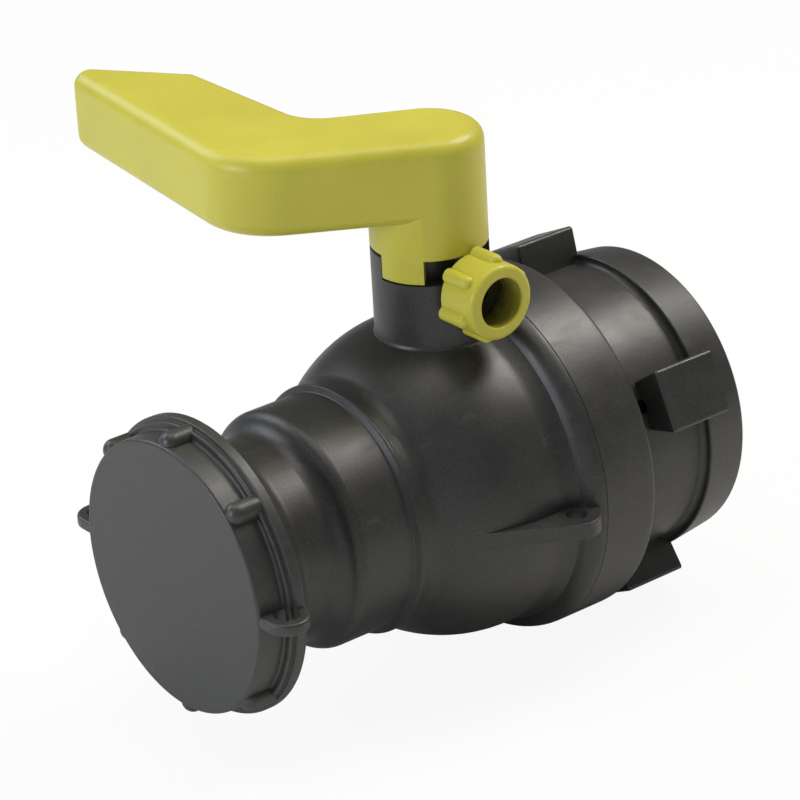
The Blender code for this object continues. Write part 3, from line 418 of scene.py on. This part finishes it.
# valve body: spigot, ball chamber, flange, ears and the stem's neck
bodySize = {
    "sphereR": 39.95, "sphereSteps": 14, "boreR": 23.0, "boreLead": 0.8, "chamberR": 35.5, "chamberSteps": 12,
    "spigotEnd": -73.5, "landR": 28.2, "landEnd": -66.6,
    "waistR": 25.1, "waistFrom": -60.5, "waistTo": -50.0, "waistRound": 5.0,
    "collarR": 29.35, "collarFrom": -47.3, "collarTo": -32.3,
    "beadR": 30.95, "beadFrom": -31.3, "beadTo": -30.4,
    "grooveR": 30.33, "grooveFrom": -30.0, "grooveTo": -26.0, "grooveRound": 5.5,
    "creaseR": 39.6, "creaseAt": 5.25, "flangeFootR": 41.05, "flangeFoot": 8.5,
    "flangeR": 44.6, "flangeFront": 10.2, "flangeRound": 6.0, "flangeBack": 13.65,
    "seatR": 27.1, "seatFloor": -29.9, "seatFace": -27.6, "pocketR": 27.4, "pocketEdge": -22.1,
    "neckR": 14.0, "neckLow": 36.0, "neckFootWidth": 0.35, "neckFootHeight": 0.55, "neckTop": 59.2,
    "neckBoreR": 9.4, "neckBoreLow": 38.2, "neckLead": 0.7,
    "notchFloor": 53.4, "notchFrom": -93.0, "notchTo": 46.0, "notchRound": 0.35,
    "stemHoleR": 7.6, "collarHoleR": 10.4, "collarHoleTop": 36.2, "shankHoleR": 2.3, "shankHeight": 51.0,
    "ringRoom": 20.0, "ringRoomBack": 30.0,
    "earHole": (43.7, 4.8), "earHoleR": 2.5, "earRimR": 5.65, "earLow": -2.5, "earHigh": 1.5,
    "earStart": (35.9, -17.2), "earRoot": (36.8, -5.0), "earBack": 12.6, "earBackOut": 43.2,
    "earRimEnd": 52.0, "earRound": 0.3, "earRoundFrom": 37.5, "thread": (27.6, 29.7, -72.8, -66.9),
}


def bodyOutside(size):
    end, back, waistRound = size["spigotEnd"], size["flangeBack"], size["waistRound"]
    grooveTurn = degrees(atan2(size["grooveTo"], size["grooveR"]))
    creaseTurn = degrees(atan2(size["creaseAt"], size["creaseR"]))
    return turnedShape([
        (0, end), (size["landR"], end, 0.6), (size["landR"], size["landEnd"], 0.8),
        (size["waistR"], size["waistFrom"], waistRound), (size["waistR"], size["waistTo"], waistRound),
        (size["collarR"], size["collarFrom"], 3.5), (size["collarR"], size["collarTo"], 0.6),
        (size["beadR"], size["beadFrom"], 0.5), (size["beadR"], size["beadTo"], 0.3),
        (size["grooveR"], size["grooveFrom"], 0.3), (size["grooveR"], size["grooveTo"], size["grooveRound"]),
        {"turn": creaseTurn - grooveTurn, "steps": size["sphereSteps"]},
        (size["flangeFootR"], size["flangeFoot"], 0.3),
        (size["flangeR"], size["flangeFront"], size["flangeRound"]), (size["flangeR"], back, 0.12), (0, back),
    ])


def bodyCavity(size):
    bore, lead, end, back = size["boreR"], size["boreLead"], size["spigotEnd"], size["flangeBack"]
    return turnedShape([
        (0, end - 3), (bore + lead, end - 3), (bore + lead, end), (bore, end + lead),
        (bore, size["seatFloor"]), (size["seatR"], size["seatFloor"]), (size["seatR"], size["seatFace"]),
        (size["pocketR"], size["seatFace"]), (size["pocketR"], size["pocketEdge"]),
        {"turn": degrees(atan2(-size["pocketEdge"], size["pocketR"])), "steps": size["chamberSteps"]},
        (size["chamberR"], 0), (size["chamberR"], back + 3), (0, back + 3),
    ])


def neckShape(size):
    radius, foot, top = size["neckR"], size["neckR"] + size["neckFootWidth"], size["neckTop"]
    root = sqrt(size["sphereR"] ** 2 - radius ** 2)
    neck = turnedShape([(0, size["neckLow"]), (foot, size["neckLow"]), (foot, root - 0.1),
                        (radius, root + size["neckFootHeight"], 0.5), (radius, top, 0.5), (0, top)], "Z")
    boreR, wideR = size["neckBoreR"], size["neckBoreR"] + size["neckLead"]
    bore = turnedShape([(0, size["neckLow"] + 2), (boreR, size["neckLow"] + 2), (boreR, top - 0.4),
                        (wideR, top + 0.3), (wideR, top + 3), (0, top + 3)], "Z")
    start, floor = size["notchFrom"], size["notchFloor"]
    wedge = pushedShape([(20, 0), {"turn": size["notchTo"] - start, "steps": 24}, (0, 0)], floor, floor + 10)
    neck = carve(neck, [("DIFFERENCE", bore), ("DIFFERENCE", moved(wedge, turn=start, axis="Z"))])
    return softenEdges(neck, size["notchRound"], lambda edge: isNotchEdge(edge, size), 2)


def isNotchEdge(edge, size):
    middle = (edge.verts[0].co + edge.verts[1].co) / 2
    turn = degrees(atan2(middle.y, middle.x))
    within = size["notchFrom"] - 2 < turn < size["notchTo"] + 2
    return within and size["notchFloor"] - 0.1 < middle.z < size["neckTop"] - 0.6


def earShape(size, side):
    hole, start, rim = Vector(size["earHole"]), Vector(size["earStart"]), size["earRimR"]
    reach = hole - start
    # the ear's long side leaves the chamber and touches the rim round the hole
    lean = atan2(reach.y, reach.x) - atan2(rim, sqrt(reach.length_squared - rim ** 2)) - pi / 2
    touch = hole + rim * Vector((cos(lean), sin(lean)))
    corners = [size["earRoot"], tuple(start), tuple(touch)]
    corners += arcPoints(hole, rim, lean, radians(size["earRimEnd"]), 12)
    corners += [(size["earBackOut"], size["earBack"]), (size["earRoot"][0], size["earBack"])]
    ear = pushedShape([(side * x, y) for x, y in corners], size["earLow"], size["earHigh"])

    def isOutside(edge):
        return min(abs(vert.co.x) for vert in edge.verts) > size["earRoundFrom"] and isLevel(edge)

    return softenEdges(ear, size["earRound"], isOutside)


def valveBody(size):
    room, back, roomBack = size["ringRoom"], size["flangeBack"], size["ringRoomBack"]
    holes = [
        plainBlock((-room, room), (back, roomBack), 30, 70), bodyCavity(size),
        plainRod(size["neckBoreR"], size["neckBoreLow"], 52, steps=128),
        plainRod(size["stemHoleR"], 30, 50, steps=64),
        plainRod(size["collarHoleR"], 30, size["collarHoleTop"], steps=64),
        moved(plainRod(size["shankHoleR"], 6, 17, "X"), (0, 0, size["shankHeight"])),
    ]
    for side in (1, -1):
        across, along = size["earHole"]
        holes.append(moved(plainRod(size["earHoleR"], -6, 6), (side * across, along, 0)))
    steps = [("UNION", threadRidge(*size["thread"])), ("UNION", neckShape(size))]
    steps += [("UNION", earShape(size, side)) for side in (1, -1)]
    steps += [("DIFFERENCE", hole) for hole in holes]
    return carve(bodyOutside(size), steps)


finishPiece(valveBody(bodySize), "bodyShell", "valve", ["valve_body"], charcoal)


# shoulder ring behind the flange, with the tail that carries the nut
shoulderSize = {
    "boreR": 23.0, "seatR": 27.1, "seatFloor": 29.9, "seatFace": 27.6, "pocketR": 27.4, "pocketEdge": 21.95,
    "lipTurn": -25.0, "lipR": 33.3, "spigotR": 35.2, "spigotEnd": 10.35, "outerR": 44.62, "front": 13.75,
    "sealInnerR": 38.2, "sealOuterR": 40.6, "sealFloor": 15.75, "edgeFrom": 27.0, "edgeRound": 15.0,
    "edgeR": 44.45, "back": 29.2, "bossR": 31.9, "bossEnd": 37.35, "tailR": 26.2, "tailEnd": 51.75,
    "retainerR": 25.0, "retainerFrom": 44.2, "retainerTo": 46.25,
}


def shoulderRing(size):
    outerR, front, back, tailR = size["outerR"], size["front"], size["back"], size["tailR"]
    return turnedShape([
        (size["boreR"], size["seatFloor"]), (size["seatR"], size["seatFloor"]),
        (size["seatR"], size["seatFace"]), (size["pocketR"], size["seatFace"]),
        (size["pocketR"], size["pocketEdge"]), {"turn": size["lipTurn"], "steps": 6},
        (size["lipR"], size["spigotEnd"]), (size["spigotR"], size["spigotEnd"]), (size["spigotR"], front),
        (size["sealInnerR"], front), (size["sealInnerR"], size["sealFloor"]),
        (size["sealOuterR"], size["sealFloor"]), (size["sealOuterR"], front),
        (outerR, front, 0.12), (outerR, size["edgeFrom"], size["edgeRound"]), (size["edgeR"], back, 1.3),
        (size["bossR"], back), (size["bossR"], size["bossEnd"]), (tailR, size["bossEnd"]),
        (tailR, size["retainerFrom"]), (size["retainerR"], size["retainerFrom"]),
        (size["retainerR"], size["retainerTo"]), (tailR, size["retainerTo"]),
        (tailR, size["tailEnd"], 0.4), (size["boreR"], size["tailEnd"], 0.5),
    ])


finishPiece(shoulderRing(shoulderSize), "shoulderRing", "valve", ["shoulder_ring"],
            blackPlastic)


# union nut with four drilled lugs
nutSize = {
    "front": 30.15, "end": 65.0, "nutR": 36.0, "ringR": 38.3, "ringFront": 52.7, "ringEndR": 37.0,
    "boreR": 30.3, "webR": 26.6, "webFrom": 37.75, "webTo": 44.05, "mouthR": 32.3,
    "lugCount": 4, "lugAngle": 24.8, "lugRoot": 33.0, "lugReach": 44.6, "lugWidth": 15.8, "lugTaper": 2.2,
    "lugFront": 36.4, "lugBack": 54.0, "lugCorner": 0.9, "lugRound": 0.7,
    "holeR": 1.9, "holeReach": 35.2, "holeStart": 27.0, "holeEnd": 45.4, "thread": (30.6, 28.6, 47.0, 63.6),
}


def nutLug(size, turn):
    half, root, reach, corner = size["lugWidth"] / 2, size["lugRoot"], size["lugReach"], size["lugCorner"]
    lug = pushedShape([(root, -half + size["lugTaper"]), (reach, -half, corner), (reach, half, corner),
                       (root, half - size["lugTaper"])], size["lugFront"], size["lugBack"], "Y")
    softenEdges(lug, size["lugRound"], lambda edge: max(vert.co.x for vert in edge.verts) > size["nutR"]
                and max(vert.co.y for vert in edge.verts) < size["lugFront"] + touching)
    return moved(lug, turn=-turn)


def unionNut(size):
    front, end, ringFront = size["front"], size["end"], size["ringFront"]
    steps = []
    for number in range(size["lugCount"]):
        turn = size["lugAngle"] + 360 * number / size["lugCount"]
        hole = plainRod(size["holeR"], size["holeStart"], size["holeEnd"], "Y", 40)
        steps.append(("UNION", nutLug(size, turn)))
        steps.append(("DIFFERENCE", moved(hole, (size["holeReach"], 0, 0), -turn)))
    steps.append(("UNION", threadRidge(*size["thread"])))
    return carve(turnedShape([
        (size["nutR"], front, 0.8), (size["nutR"], ringFront, 1.6), (size["ringR"], ringFront + 0.05, 0.5),
        (size["ringEndR"], end, 1.0), (size["boreR"], end, 0.7), (size["boreR"], size["webTo"]),
        (size["webR"], size["webTo"]), (size["webR"], size["webFrom"]), (size["mouthR"], size["webFrom"]),
        (size["mouthR"], front, 0.4),
    ]), steps)


finishPiece(unionNut(nutSize), "unionNut", "nut", ["union_nut"], blackPlastic)


# dust cap: face, ribbed skirt, back flange and two eared plates
capSize = {
    "front": -80.2, "back": -68.9, "capR": 33.25, "skirtBack": -73.1, "stepR": 35.2, "stepFront": -73.05,
    "flangeR": 36.2, "flangeFront": -71.7, "innerR": 30.4, "innerFace": -76.6,
    "ribPlaces": 8, "earEvery": 4, "ribR": 2.8, "ribReach": 35.9, "ribFront": -79.8, "ribBack": -71.0,
    "earRoot": 31.6, "earR": 5.4, "earOut": 36.3, "earAlong": -74.6, "earHoleR": 3.0, "earLow": -0.8,
    "earHigh": 2.1, "earRound": 0.7, "earRoundFrom": 32.0,
    "thread": (30.7, 28.6, -76.2, -69.1), "threadTurn": -24.0,
}


def domedRod(radius, domed, flat, axis, baseRound=0):  # its domed end and its flat one
    foot = (radius, flat, baseRound) if baseRound else (radius, flat)
    corners = [(0, domed), (radius, domed, radius * domeShare), foot, (0, flat)]
    if flat < domed:
        corners.reverse()
    return turnedShape(corners, axis, 40)


def capRib(size, turn):
    rib = domedRod(size["ribR"], size["ribFront"], size["ribBack"], "Y")
    return moved(rib, (size["ribReach"] - size["ribR"], 0, 0), -turn)


def capEar(size, side):
    radius, out, along, root = size["earR"], size["earOut"], size["earAlong"], size["earRoot"]
    corners = [(root, along - radius), (out, along - radius),
               *arcPoints((out, along), radius, -pi / 2, pi / 2, 16), (root, along + radius)]
    ear = pushedShape([(side * x, y) for x, y in corners], size["earLow"], size["earHigh"])

    def isOutside(edge):
        return max(abs(vert.co.x) for vert in edge.verts) > size["earRoundFrom"] and isLevel(edge)

    softenEdges(ear, size["earRound"], isOutside)
    return carve(ear, [("DIFFERENCE", moved(plainRod(size["earHoleR"], -6, 6), (side * out, along, 0)))])


def dustCap(size):
    front, back, stepR = size["front"], size["back"], size["stepR"]
    places = [place for place in range(size["ribPlaces"]) if place % size["earEvery"]]
    steps = [("UNION", capRib(size, 360 * place / size["ribPlaces"])) for place in places]
    steps += [("UNION", capEar(size, side)) for side in (1, -1)]
    steps.append(("UNION", moved(threadRidge(*size["thread"]), turn=size["threadTurn"])))
    return carve(turnedShape([
        (0, front), (size["capR"], front, 0.9), (size["capR"], size["skirtBack"], 0.6),
        (stepR, size["stepFront"], 0.5), (stepR, size["flangeFront"] - 0.02, 0.2),
        (size["flangeR"], size["flangeFront"], 0.4), (size["flangeR"], back, 0.6),
        (size["innerR"], back, 0.4), (size["innerR"], size["innerFace"]), (0, size["innerFace"]),
    ]), steps)


finishPiece(dustCap(capSize), "dustCap", "cap", ["dust_cap"], capPlastic)


# lever: roofed cranked channel with cross ribs, hub, and the tab that turns in the notch
leverSize = {
    "top": 88.2, "roof": 84.9, "under": 68.5, "wall": 2.8, "topRound": 3.9, "lowRound": 3.5,
    "hubR": 14.0, "hubBottom": 59.5, "hubSteps": 60, "squareHalf": 5.3, "squareTop": 77.5,
    "elbow": (-12.9, -47.2), "elbowRound": 20.0, "tip": (-99.9, -34.6), "shoulder": (-69.3, -13.65),
    "tipRound": 4.3, "innerCorner": (-24.55, -14.8), "innerRound": 10.0, "nearTurn": -121.9,
    "farTurn": -119.6, "pocketRound": 1.5, "pocketFromHub": 6.3, "pocketHubRound": 0.5,
    "ribs": 3, "ribHalf": 1.0, "ribInset": 1.4,
    "tabFrom": -92.0, "tabTo": -45.0, "tabLow": 53.7, "tabHigh": 64.0, "tabInnerR": 9.5, "tabRound": 0.4,
}


def leverBlade(size):
    radius, top, under, hub = size["hubR"], size["top"], size["under"], size["hubR"] + 0.2
    start, end = size["farTurn"] + 270, size["nearTurn"] + 90
    blade = pushedShape([
        (radius * cos(radians(start)), radius * sin(radians(start))),
        {"turn": end - start, "steps": size["hubSteps"]},
        (*size["elbow"], size["elbowRound"]), (*size["tip"], size["tipRound"]),
        (*size["shoulder"], size["tipRound"]), (*size["innerCorner"], size["innerRound"]),
    ], under, top)

    def isUpper(edge):
        return min(vert.co.z for vert in edge.verts) > top - touching

    def isLowerBeyondHub(edge):
        away = max(vert.co.xy.length for vert in edge.verts)
        return max(vert.co.z for vert in edge.verts) < under + touching and away > hub

    softenEdges(blade, size["topRound"], isUpper, 7, clamped=False)
    return softenEdges(blade, size["lowRound"], isLowerBeyondHub, 4, clamped=False)


def leverPocket(size):
    wall, radius, ahead = size["wall"], size["hubR"], size["pocketFromHub"]
    turns = radians(size["nearTurn"]), radians(size["farTurn"])
    near, far = [Vector((cos(turn), sin(turn))) for turn in turns]
    left, right = Vector((-near.y, near.x)), Vector((far.y, -far.x))
    loop = [Vector(size[name]) for name in ("innerCorner", "shoulder", "tip", "elbow")]
    loop += [left * radius + near * ahead, right * radius + far * ahead]
    rounds = [size["innerRound"] + wall, size["pocketRound"], size["pocketRound"], size["elbowRound"] - wall,
              size["pocketHubRound"], size["pocketHubRound"]]
    corners = []
    for index, here in enumerate(loop):
        before = (here - loop[index - 1]).normalized()
        after = (loop[(index + 1) % len(loop)] - here).normalized()
        inward = Vector((-before.y - after.y, before.x + after.x)).normalized()
        corners.append((*(here + inward * wall / cos(before.angle(after) / 2)), rounds[index]))
    return pushedShape(corners, size["under"] - 8, size["roof"])


def leverRib(size, number):
    inner, shoulder, elbow, tip = [Vector(size[name]) for name in ("innerCorner", "shoulder", "elbow", "tip")]
    along = (shoulder - inner).normalized() * size["ribHalf"]
    across = Vector((-along.y, along.x)).normalized()
    foot = inner + (shoulder - inner) * (number + 0.5) / size["ribs"]
    way = (tip - elbow).normalized()
    length = (elbow - foot).cross(way) / across.cross(way)
    start, end = foot + across * size["ribInset"], foot + across * (length - size["ribInset"])
    corners = [tuple(point) for point in (start - along, start + along, end + along, end - along)]
    return pushedShape(corners, size["under"] + 2, size["roof"] + 1)


def leverTab(size):
    inner, outer, high = size["tabInnerR"], size["hubR"], size["tabHigh"]
    sweep = size["tabTo"] - size["tabFrom"]
    tab = pushedShape([
        (outer, 0), {"turn": sweep, "steps": 16},
        (inner * cos(radians(sweep)), inner * sin(radians(sweep))), {"turn": -sweep, "steps": 16},
    ], size["tabLow"], high)

    def isOutside(edge):
        away = min(vert.co.xy.length for vert in edge.verts)
        return away > outer - 0.1 and max(vert.co.z for vert in edge.verts) < high - 1

    return moved(softenEdges(tab, size["tabRound"], isOutside), turn=size["tabFrom"], axis="Z")


def lever(size):
    radius, bottom, top, half = size["hubR"], size["hubBottom"], size["roof"] - 0.5, size["squareHalf"]
    hub = turnedShape([(0, bottom), (radius, bottom, 0.4), (radius, top), (0, top)], "Z")
    socket = plainBlock((-half, half), (-half, half), bottom - 5, size["squareTop"])
    steps = [("DIFFERENCE", leverPocket(size))]
    steps += [("UNION", leverRib(size, number)) for number in range(size["ribs"])]
    steps += [("UNION", hub), ("UNION", leverTab(size)), ("DIFFERENCE", socket)]
    return carve(leverBlade(size), steps)


finishPiece(lever(leverSize), "lever", "spindle", ["handle"], yellowPlastic)


# stem: its round head fills the neck under the lever, and the square above carries the lever
stemSize = {
    "collarR": 10.0, "collarLow": 33.6, "collarTop": 35.9, "shaftR": 7.2, "shaftTop": 48.1, "headR": 9.1,
    "headLow": 48.2, "headTop": 59.2, "squareHalf": 5.0, "squareTop": 77.2, "squareRound": 0.8,
    "tongueLow": 28.2, "tongueHalf": 4.0, "tongueLong": 10.0, "tongueRound": 3.0,
    "grooves": (41.1, 45.3), "grooveHalf": 1.0, "grooveR": 5.6,
}


def stem(size):
    collarR, shaftR, headR, grooveR = size["collarR"], size["shaftR"], size["headR"], size["grooveR"]
    corners = [(0, size["collarLow"]), (collarR, size["collarLow"], 0.3), (collarR, size["collarTop"], 0.3),
               (shaftR, size["collarTop"])]
    for height in size["grooves"]:
        low, high = height - size["grooveHalf"], height + size["grooveHalf"]
        corners += [(shaftR, low), (grooveR, low), (grooveR, high), (shaftR, high)]
    corners += [(shaftR, size["shaftTop"]), (headR, size["headLow"]), (headR, size["headTop"], 0.5),
                (0, size["headTop"])]
    half, long = size["tongueHalf"], size["tongueLong"]
    tongue = plainBlock((-half, half), (-long, long), size["tongueLow"], size["collarLow"] + 1,
                        rounding=size["tongueRound"])
    half = size["squareHalf"]
    square = plainBlock((-half, half), (-half, half), size["headTop"] - 1, size["squareTop"],
                        rounding=size["squareRound"])
    return carve(turnedShape(corners, "Z", 96), [("UNION", tongue), ("UNION", square)])


finishPiece(stem(stemSize), "stemShaft", "spindle", ["stem"], blackPlastic)


# hollow lock screw with six grip ribs
lockSize = {
    "height": 51.0, "back": 14.3, "front": 25.8, "headR": 9.1, "boreR": 6.0, "boreFloor": 16.9, "stepR": 3.4,
    "stepFloor": 15.4, "shankR": 2.0, "tip": 11.4, "sealInnerR": 3.2, "sealOuterR": 5.4, "sealFloor": 15.9,
    "ribs": 6, "ribAngle": 19.0, "ribR": 1.8, "ribReach": 10.7, "ribStart": 14.8, "ribEnd": 23.4,
}


def lockScrew(size):
    names = ("back", "front", "headR", "boreR", "stepR")
    back, front, headR, boreR, stepR = [size[name] for name in names]
    head = turnedShape([
        (0, size["tip"]), (size["shankR"], size["tip"], 0.3), (size["shankR"], back),
        (size["sealInnerR"], back), (size["sealInnerR"], size["sealFloor"]),
        (size["sealOuterR"], size["sealFloor"]),
        (size["sealOuterR"], back), (headR, back, 0.6), (headR, front, 1.2), (boreR, front, 0.5),
        (boreR, size["boreFloor"], 0.2), (stepR, size["boreFloor"]), (stepR, size["stepFloor"]),
        (0, size["stepFloor"]),
    ], "X", 96)
    steps = []
    for number in range(size["ribs"]):
        turn = radians(size["ribAngle"] + 360 * number / size["ribs"])
        reach = size["ribReach"] - size["ribR"]
        rib = domedRod(size["ribR"], size["ribEnd"], size["ribStart"], "X", baseRound=0.3)
        steps.append(("UNION", moved(rib, (0, reach * cos(turn), reach * sin(turn)))))
    return moved(carve(head, steps), (0, 0, size["height"]))


# puts the painted-shade material on the faces inside the lock screw's bore
def paintBoreShade(knob, size):
    knob.data.materials.append(yellowWithPaintedShade(boreShadeLook, size["front"], size["boreFloor"]))
    for face in knob.data.polygons:
        inside = (face.center - stemPlace - Vector((0, 0, size["height"] * mm))) / mm
        inBore = size["stepFloor"] - 0.1 < inside.x < size["front"] - 0.5
        if inBore and inside.yz.length < size["boreR"] + 0.05:
            face.material_index = 1


knob = finishPiece(lockScrew(lockSize), "lockScrew", "lock", ["lock_screw"], yellowPlastic)
# painted shade inside the lock screw's bore
paintBoreShade(knob, lockSize)


# bored ball, with a flat and a slot for the stem's tongue
ballSize = {
    "ballR": 34.0, "boreR": 23.0, "boreLead": 0.9, "boreLeadDepth": 0.7, "ballSteps": 40, "flat": 33.2,
    "flatR": 20.0, "slotHalf": 4.3, "slotLong": 12.3, "slotFloor": 27.9, "slotRound": 0.9,
}


def boredBall(size):
    rimR, depth = size["boreR"] + size["boreLead"], size["boreLeadDepth"]
    rim = sqrt(size["ballR"] ** 2 - rimR ** 2)
    corners = [
        (size["boreR"], depth - rim, 0.5), (rimR, -rim),
        {"turn": 2 * degrees(atan2(rim, rimR)), "steps": size["ballSteps"]},
        (size["boreR"], rim - depth, 0.5),
    ]
    flat = plainRod(size["flatR"], size["flat"], 40, steps=64)
    half, long = size["slotHalf"], size["slotLong"]
    slot = plainBlock((-half, half), (-long, long), size["slotFloor"], 40, rounding=half * size["slotRound"])
    return carve(turnedShape(corners, "X"), [("DIFFERENCE", flat), ("DIFFERENCE", slot)])


finishPiece(boredBall(ballSize), "boredBall", "spindle", ["ball"], charcoal)


# flat gasket and split retainer, seen from the tank's side
gasketSize = {"inner": 23.3, "outer": 28.5, "front": 52.05, "back": 54.85, "round": 0.4}
retainerSize = {"inner": 25.3, "outer": 28.4, "front": 44.35, "back": 45.95, "round": 0.3, "splitHalf": 3.0}


def inletGasket(size):
    inner, outer, front, back, edge = [size[name] for name in ("inner", "outer", "front", "back", "round")]
    return turnedShape([(inner, front, edge), (outer, front, edge), (outer, back, edge), (inner, back, edge)])


def nutRetainer(size):
    inner, outer, front, back, edge = [size[name] for name in ("inner", "outer", "front", "back", "round")]
    ring = turnedShape([(inner, front), (outer, front, edge), (outer, back, edge), (inner, back)])
    half = size["splitHalf"]
    return carve(ring, [("DIFFERENCE", plainBlock((-half, half), (-32, -22), 43, 47, "Y"))])


finishPiece(inletGasket(gasketSize), "inletGasket", "valve", ["inlet_gasket"], rubber)
finishPiece(nutRetainer(retainerSize), "nutRetainer", "valve", ["nut_retainer"], acetal)

# the solids that stay in view as they are
nodeMaterials = {
    "outlet_seat": seatPlastic, "inlet_seat": seatPlastic, "stem_bush": acetal,
    "outlet_seat_ring": rubber, "inlet_seat_ring": rubber, "shoulder_seal": rubber, "stem_seal_lower": rubber,
    "stem_seal_upper": rubber, "cap_gasket": rubber, "lock_seal": rubber,
}
for node, material in nodeMaterials.items():
    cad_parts[node].data.materials.clear()
    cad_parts[node].data.materials.append(material)
print("pieces done")


# pale floor, white seen behind the object, dim world for its own light
stageSet = {"floorHalf": 6.0, "floorGap": 0.0004, "floorColour": "#ebebe8", "floorRough": 0.9,
            "floorGlow": 0.92, "ambient": 0.2, "aim": Vector((0, 0, 0.02))}
lampSet = {
    "key": {"way": (-0.12, -1.0, 0.30), "distance": 0.9, "size": 0.4, "power": 3.3, "colour": "#eef4ff"},
    "left": {"way": (-0.85, -0.35, 0.65), "distance": 0.9, "size": 0.5, "power": 2.7, "colour": "#eef4ff"},
    "top": {"way": (-0.1, 0.0, 1.0), "distance": 0.8, "size": 0.6, "power": 2.2, "colour": "#fffaf2"},
    "rim": {"way": (0.12, 0.62, 0.78), "distance": 0.9, "size": 0.36, "power": 4.9, "colour": "#fffaf2"},
    "fill": {"way": (1.0, -0.6, 0.06), "distance": 1.1, "size": 0.9, "power": 0.7, "colour": "#ffffff"},
}
cameraSet = {"eye": (0.63426, -0.56756, 0.39021), "right": (0.6303, 0.7746, -0.0523),
             "up": (-0.2940, 0.3006, 0.9073), "lens": 168.2, "sensor": 36.0}


def layFloor(look):
    bm = bmesh.new()
    bmesh.ops.create_grid(bm, x_segments=1, y_segments=1, size=look["floorHalf"])
    bmesh.ops.translate(bm, verts=bm.verts, vec=(0, 0, cadLow.z - look["floorGap"]))
    floor = asObject(bm, "floor")
    material, tree, shader = newMaterial("pale floor")
    shader.inputs["Base Color"].default_value = hexColour(look["floorColour"])
    shader.inputs["Roughness"].default_value = look["floorRough"]
    path = addNode(tree, "ShaderNodeLightPath")
    glow = addNode(tree, "ShaderNodeEmission", {"Color": (1, 1, 1, 1), "Strength": 1.0})
    share = addNode(tree, "ShaderNodeMath", {0: path.outputs["Is Camera Ray"], 1: look["floorGlow"]},
                    operation="MULTIPLY")
    mixed = addNode(tree, "ShaderNodeMixShader",
                    {0: share.outputs[0], 1: shader.outputs[0], 2: glow.outputs[0]})
    tree.links.new(mixed.outputs[0], tree.nodes["Material Output"].inputs["Surface"])
    floor.data.materials.append(material)


def setWorld(look):
    world = bpy.data.worlds.new("studio")
    scene.world = world
    world.use_nodes = True
    tree = world.node_tree
    path = addNode(tree, "ShaderNodeLightPath")
    rays = {0: path.outputs["Is Camera Ray"], 1: path.outputs["Is Transmission Ray"]}
    seen = addNode(tree, "ShaderNodeMath", rays, operation="MAXIMUM").outputs[0]
    background = tree.nodes["Background"]
    background.inputs["Color"].default_value = (1, 1, 1, 1)
    tree.links.new(ranged(tree, seen, (0.0, 1.0), (look["ambient"], 1.0)), background.inputs["Strength"])


def hangLamp(name, way, distance, size, power, colour):
    data = bpy.data.lights.new(name, "AREA")
    data.shape = "DISK"
    data.size = size
    data.energy = power
    data.color = hexColour(colour)[:3]
    lamp = bpy.data.objects.new(name, data)
    scene.collection.objects.link(lamp)
    way = Vector(way).normalized()
    lamp.location = stemPlace + stageSet["aim"] + way * distance
    lamp.rotation_euler = way.to_track_quat("Z", "Y").to_euler()


def placeCamera(look):
    data = bpy.data.cameras.new("photoCamera")
    data.lens = look["lens"]
    data.sensor_width = look["sensor"]
    camera = bpy.data.objects.new("photoCamera", data)
    scene.collection.objects.link(camera)
    right = Vector(look["right"]).normalized()
    back = right.cross(Vector(look["up"])).normalized()
    axes = Matrix((right, back.cross(right), back)).transposed().to_4x4()
    camera.matrix_world = Matrix.Translation(look["eye"]) @ axes
    scene.camera = camera


layFloor(stageSet)
setWorld(stageSet)
for name, lamp in lampSet.items():
    hangLamp(name, **lamp)
placeCamera(cameraSet)
scene.view_settings.view_transform = "Standard"
print("floor, light and camera set")
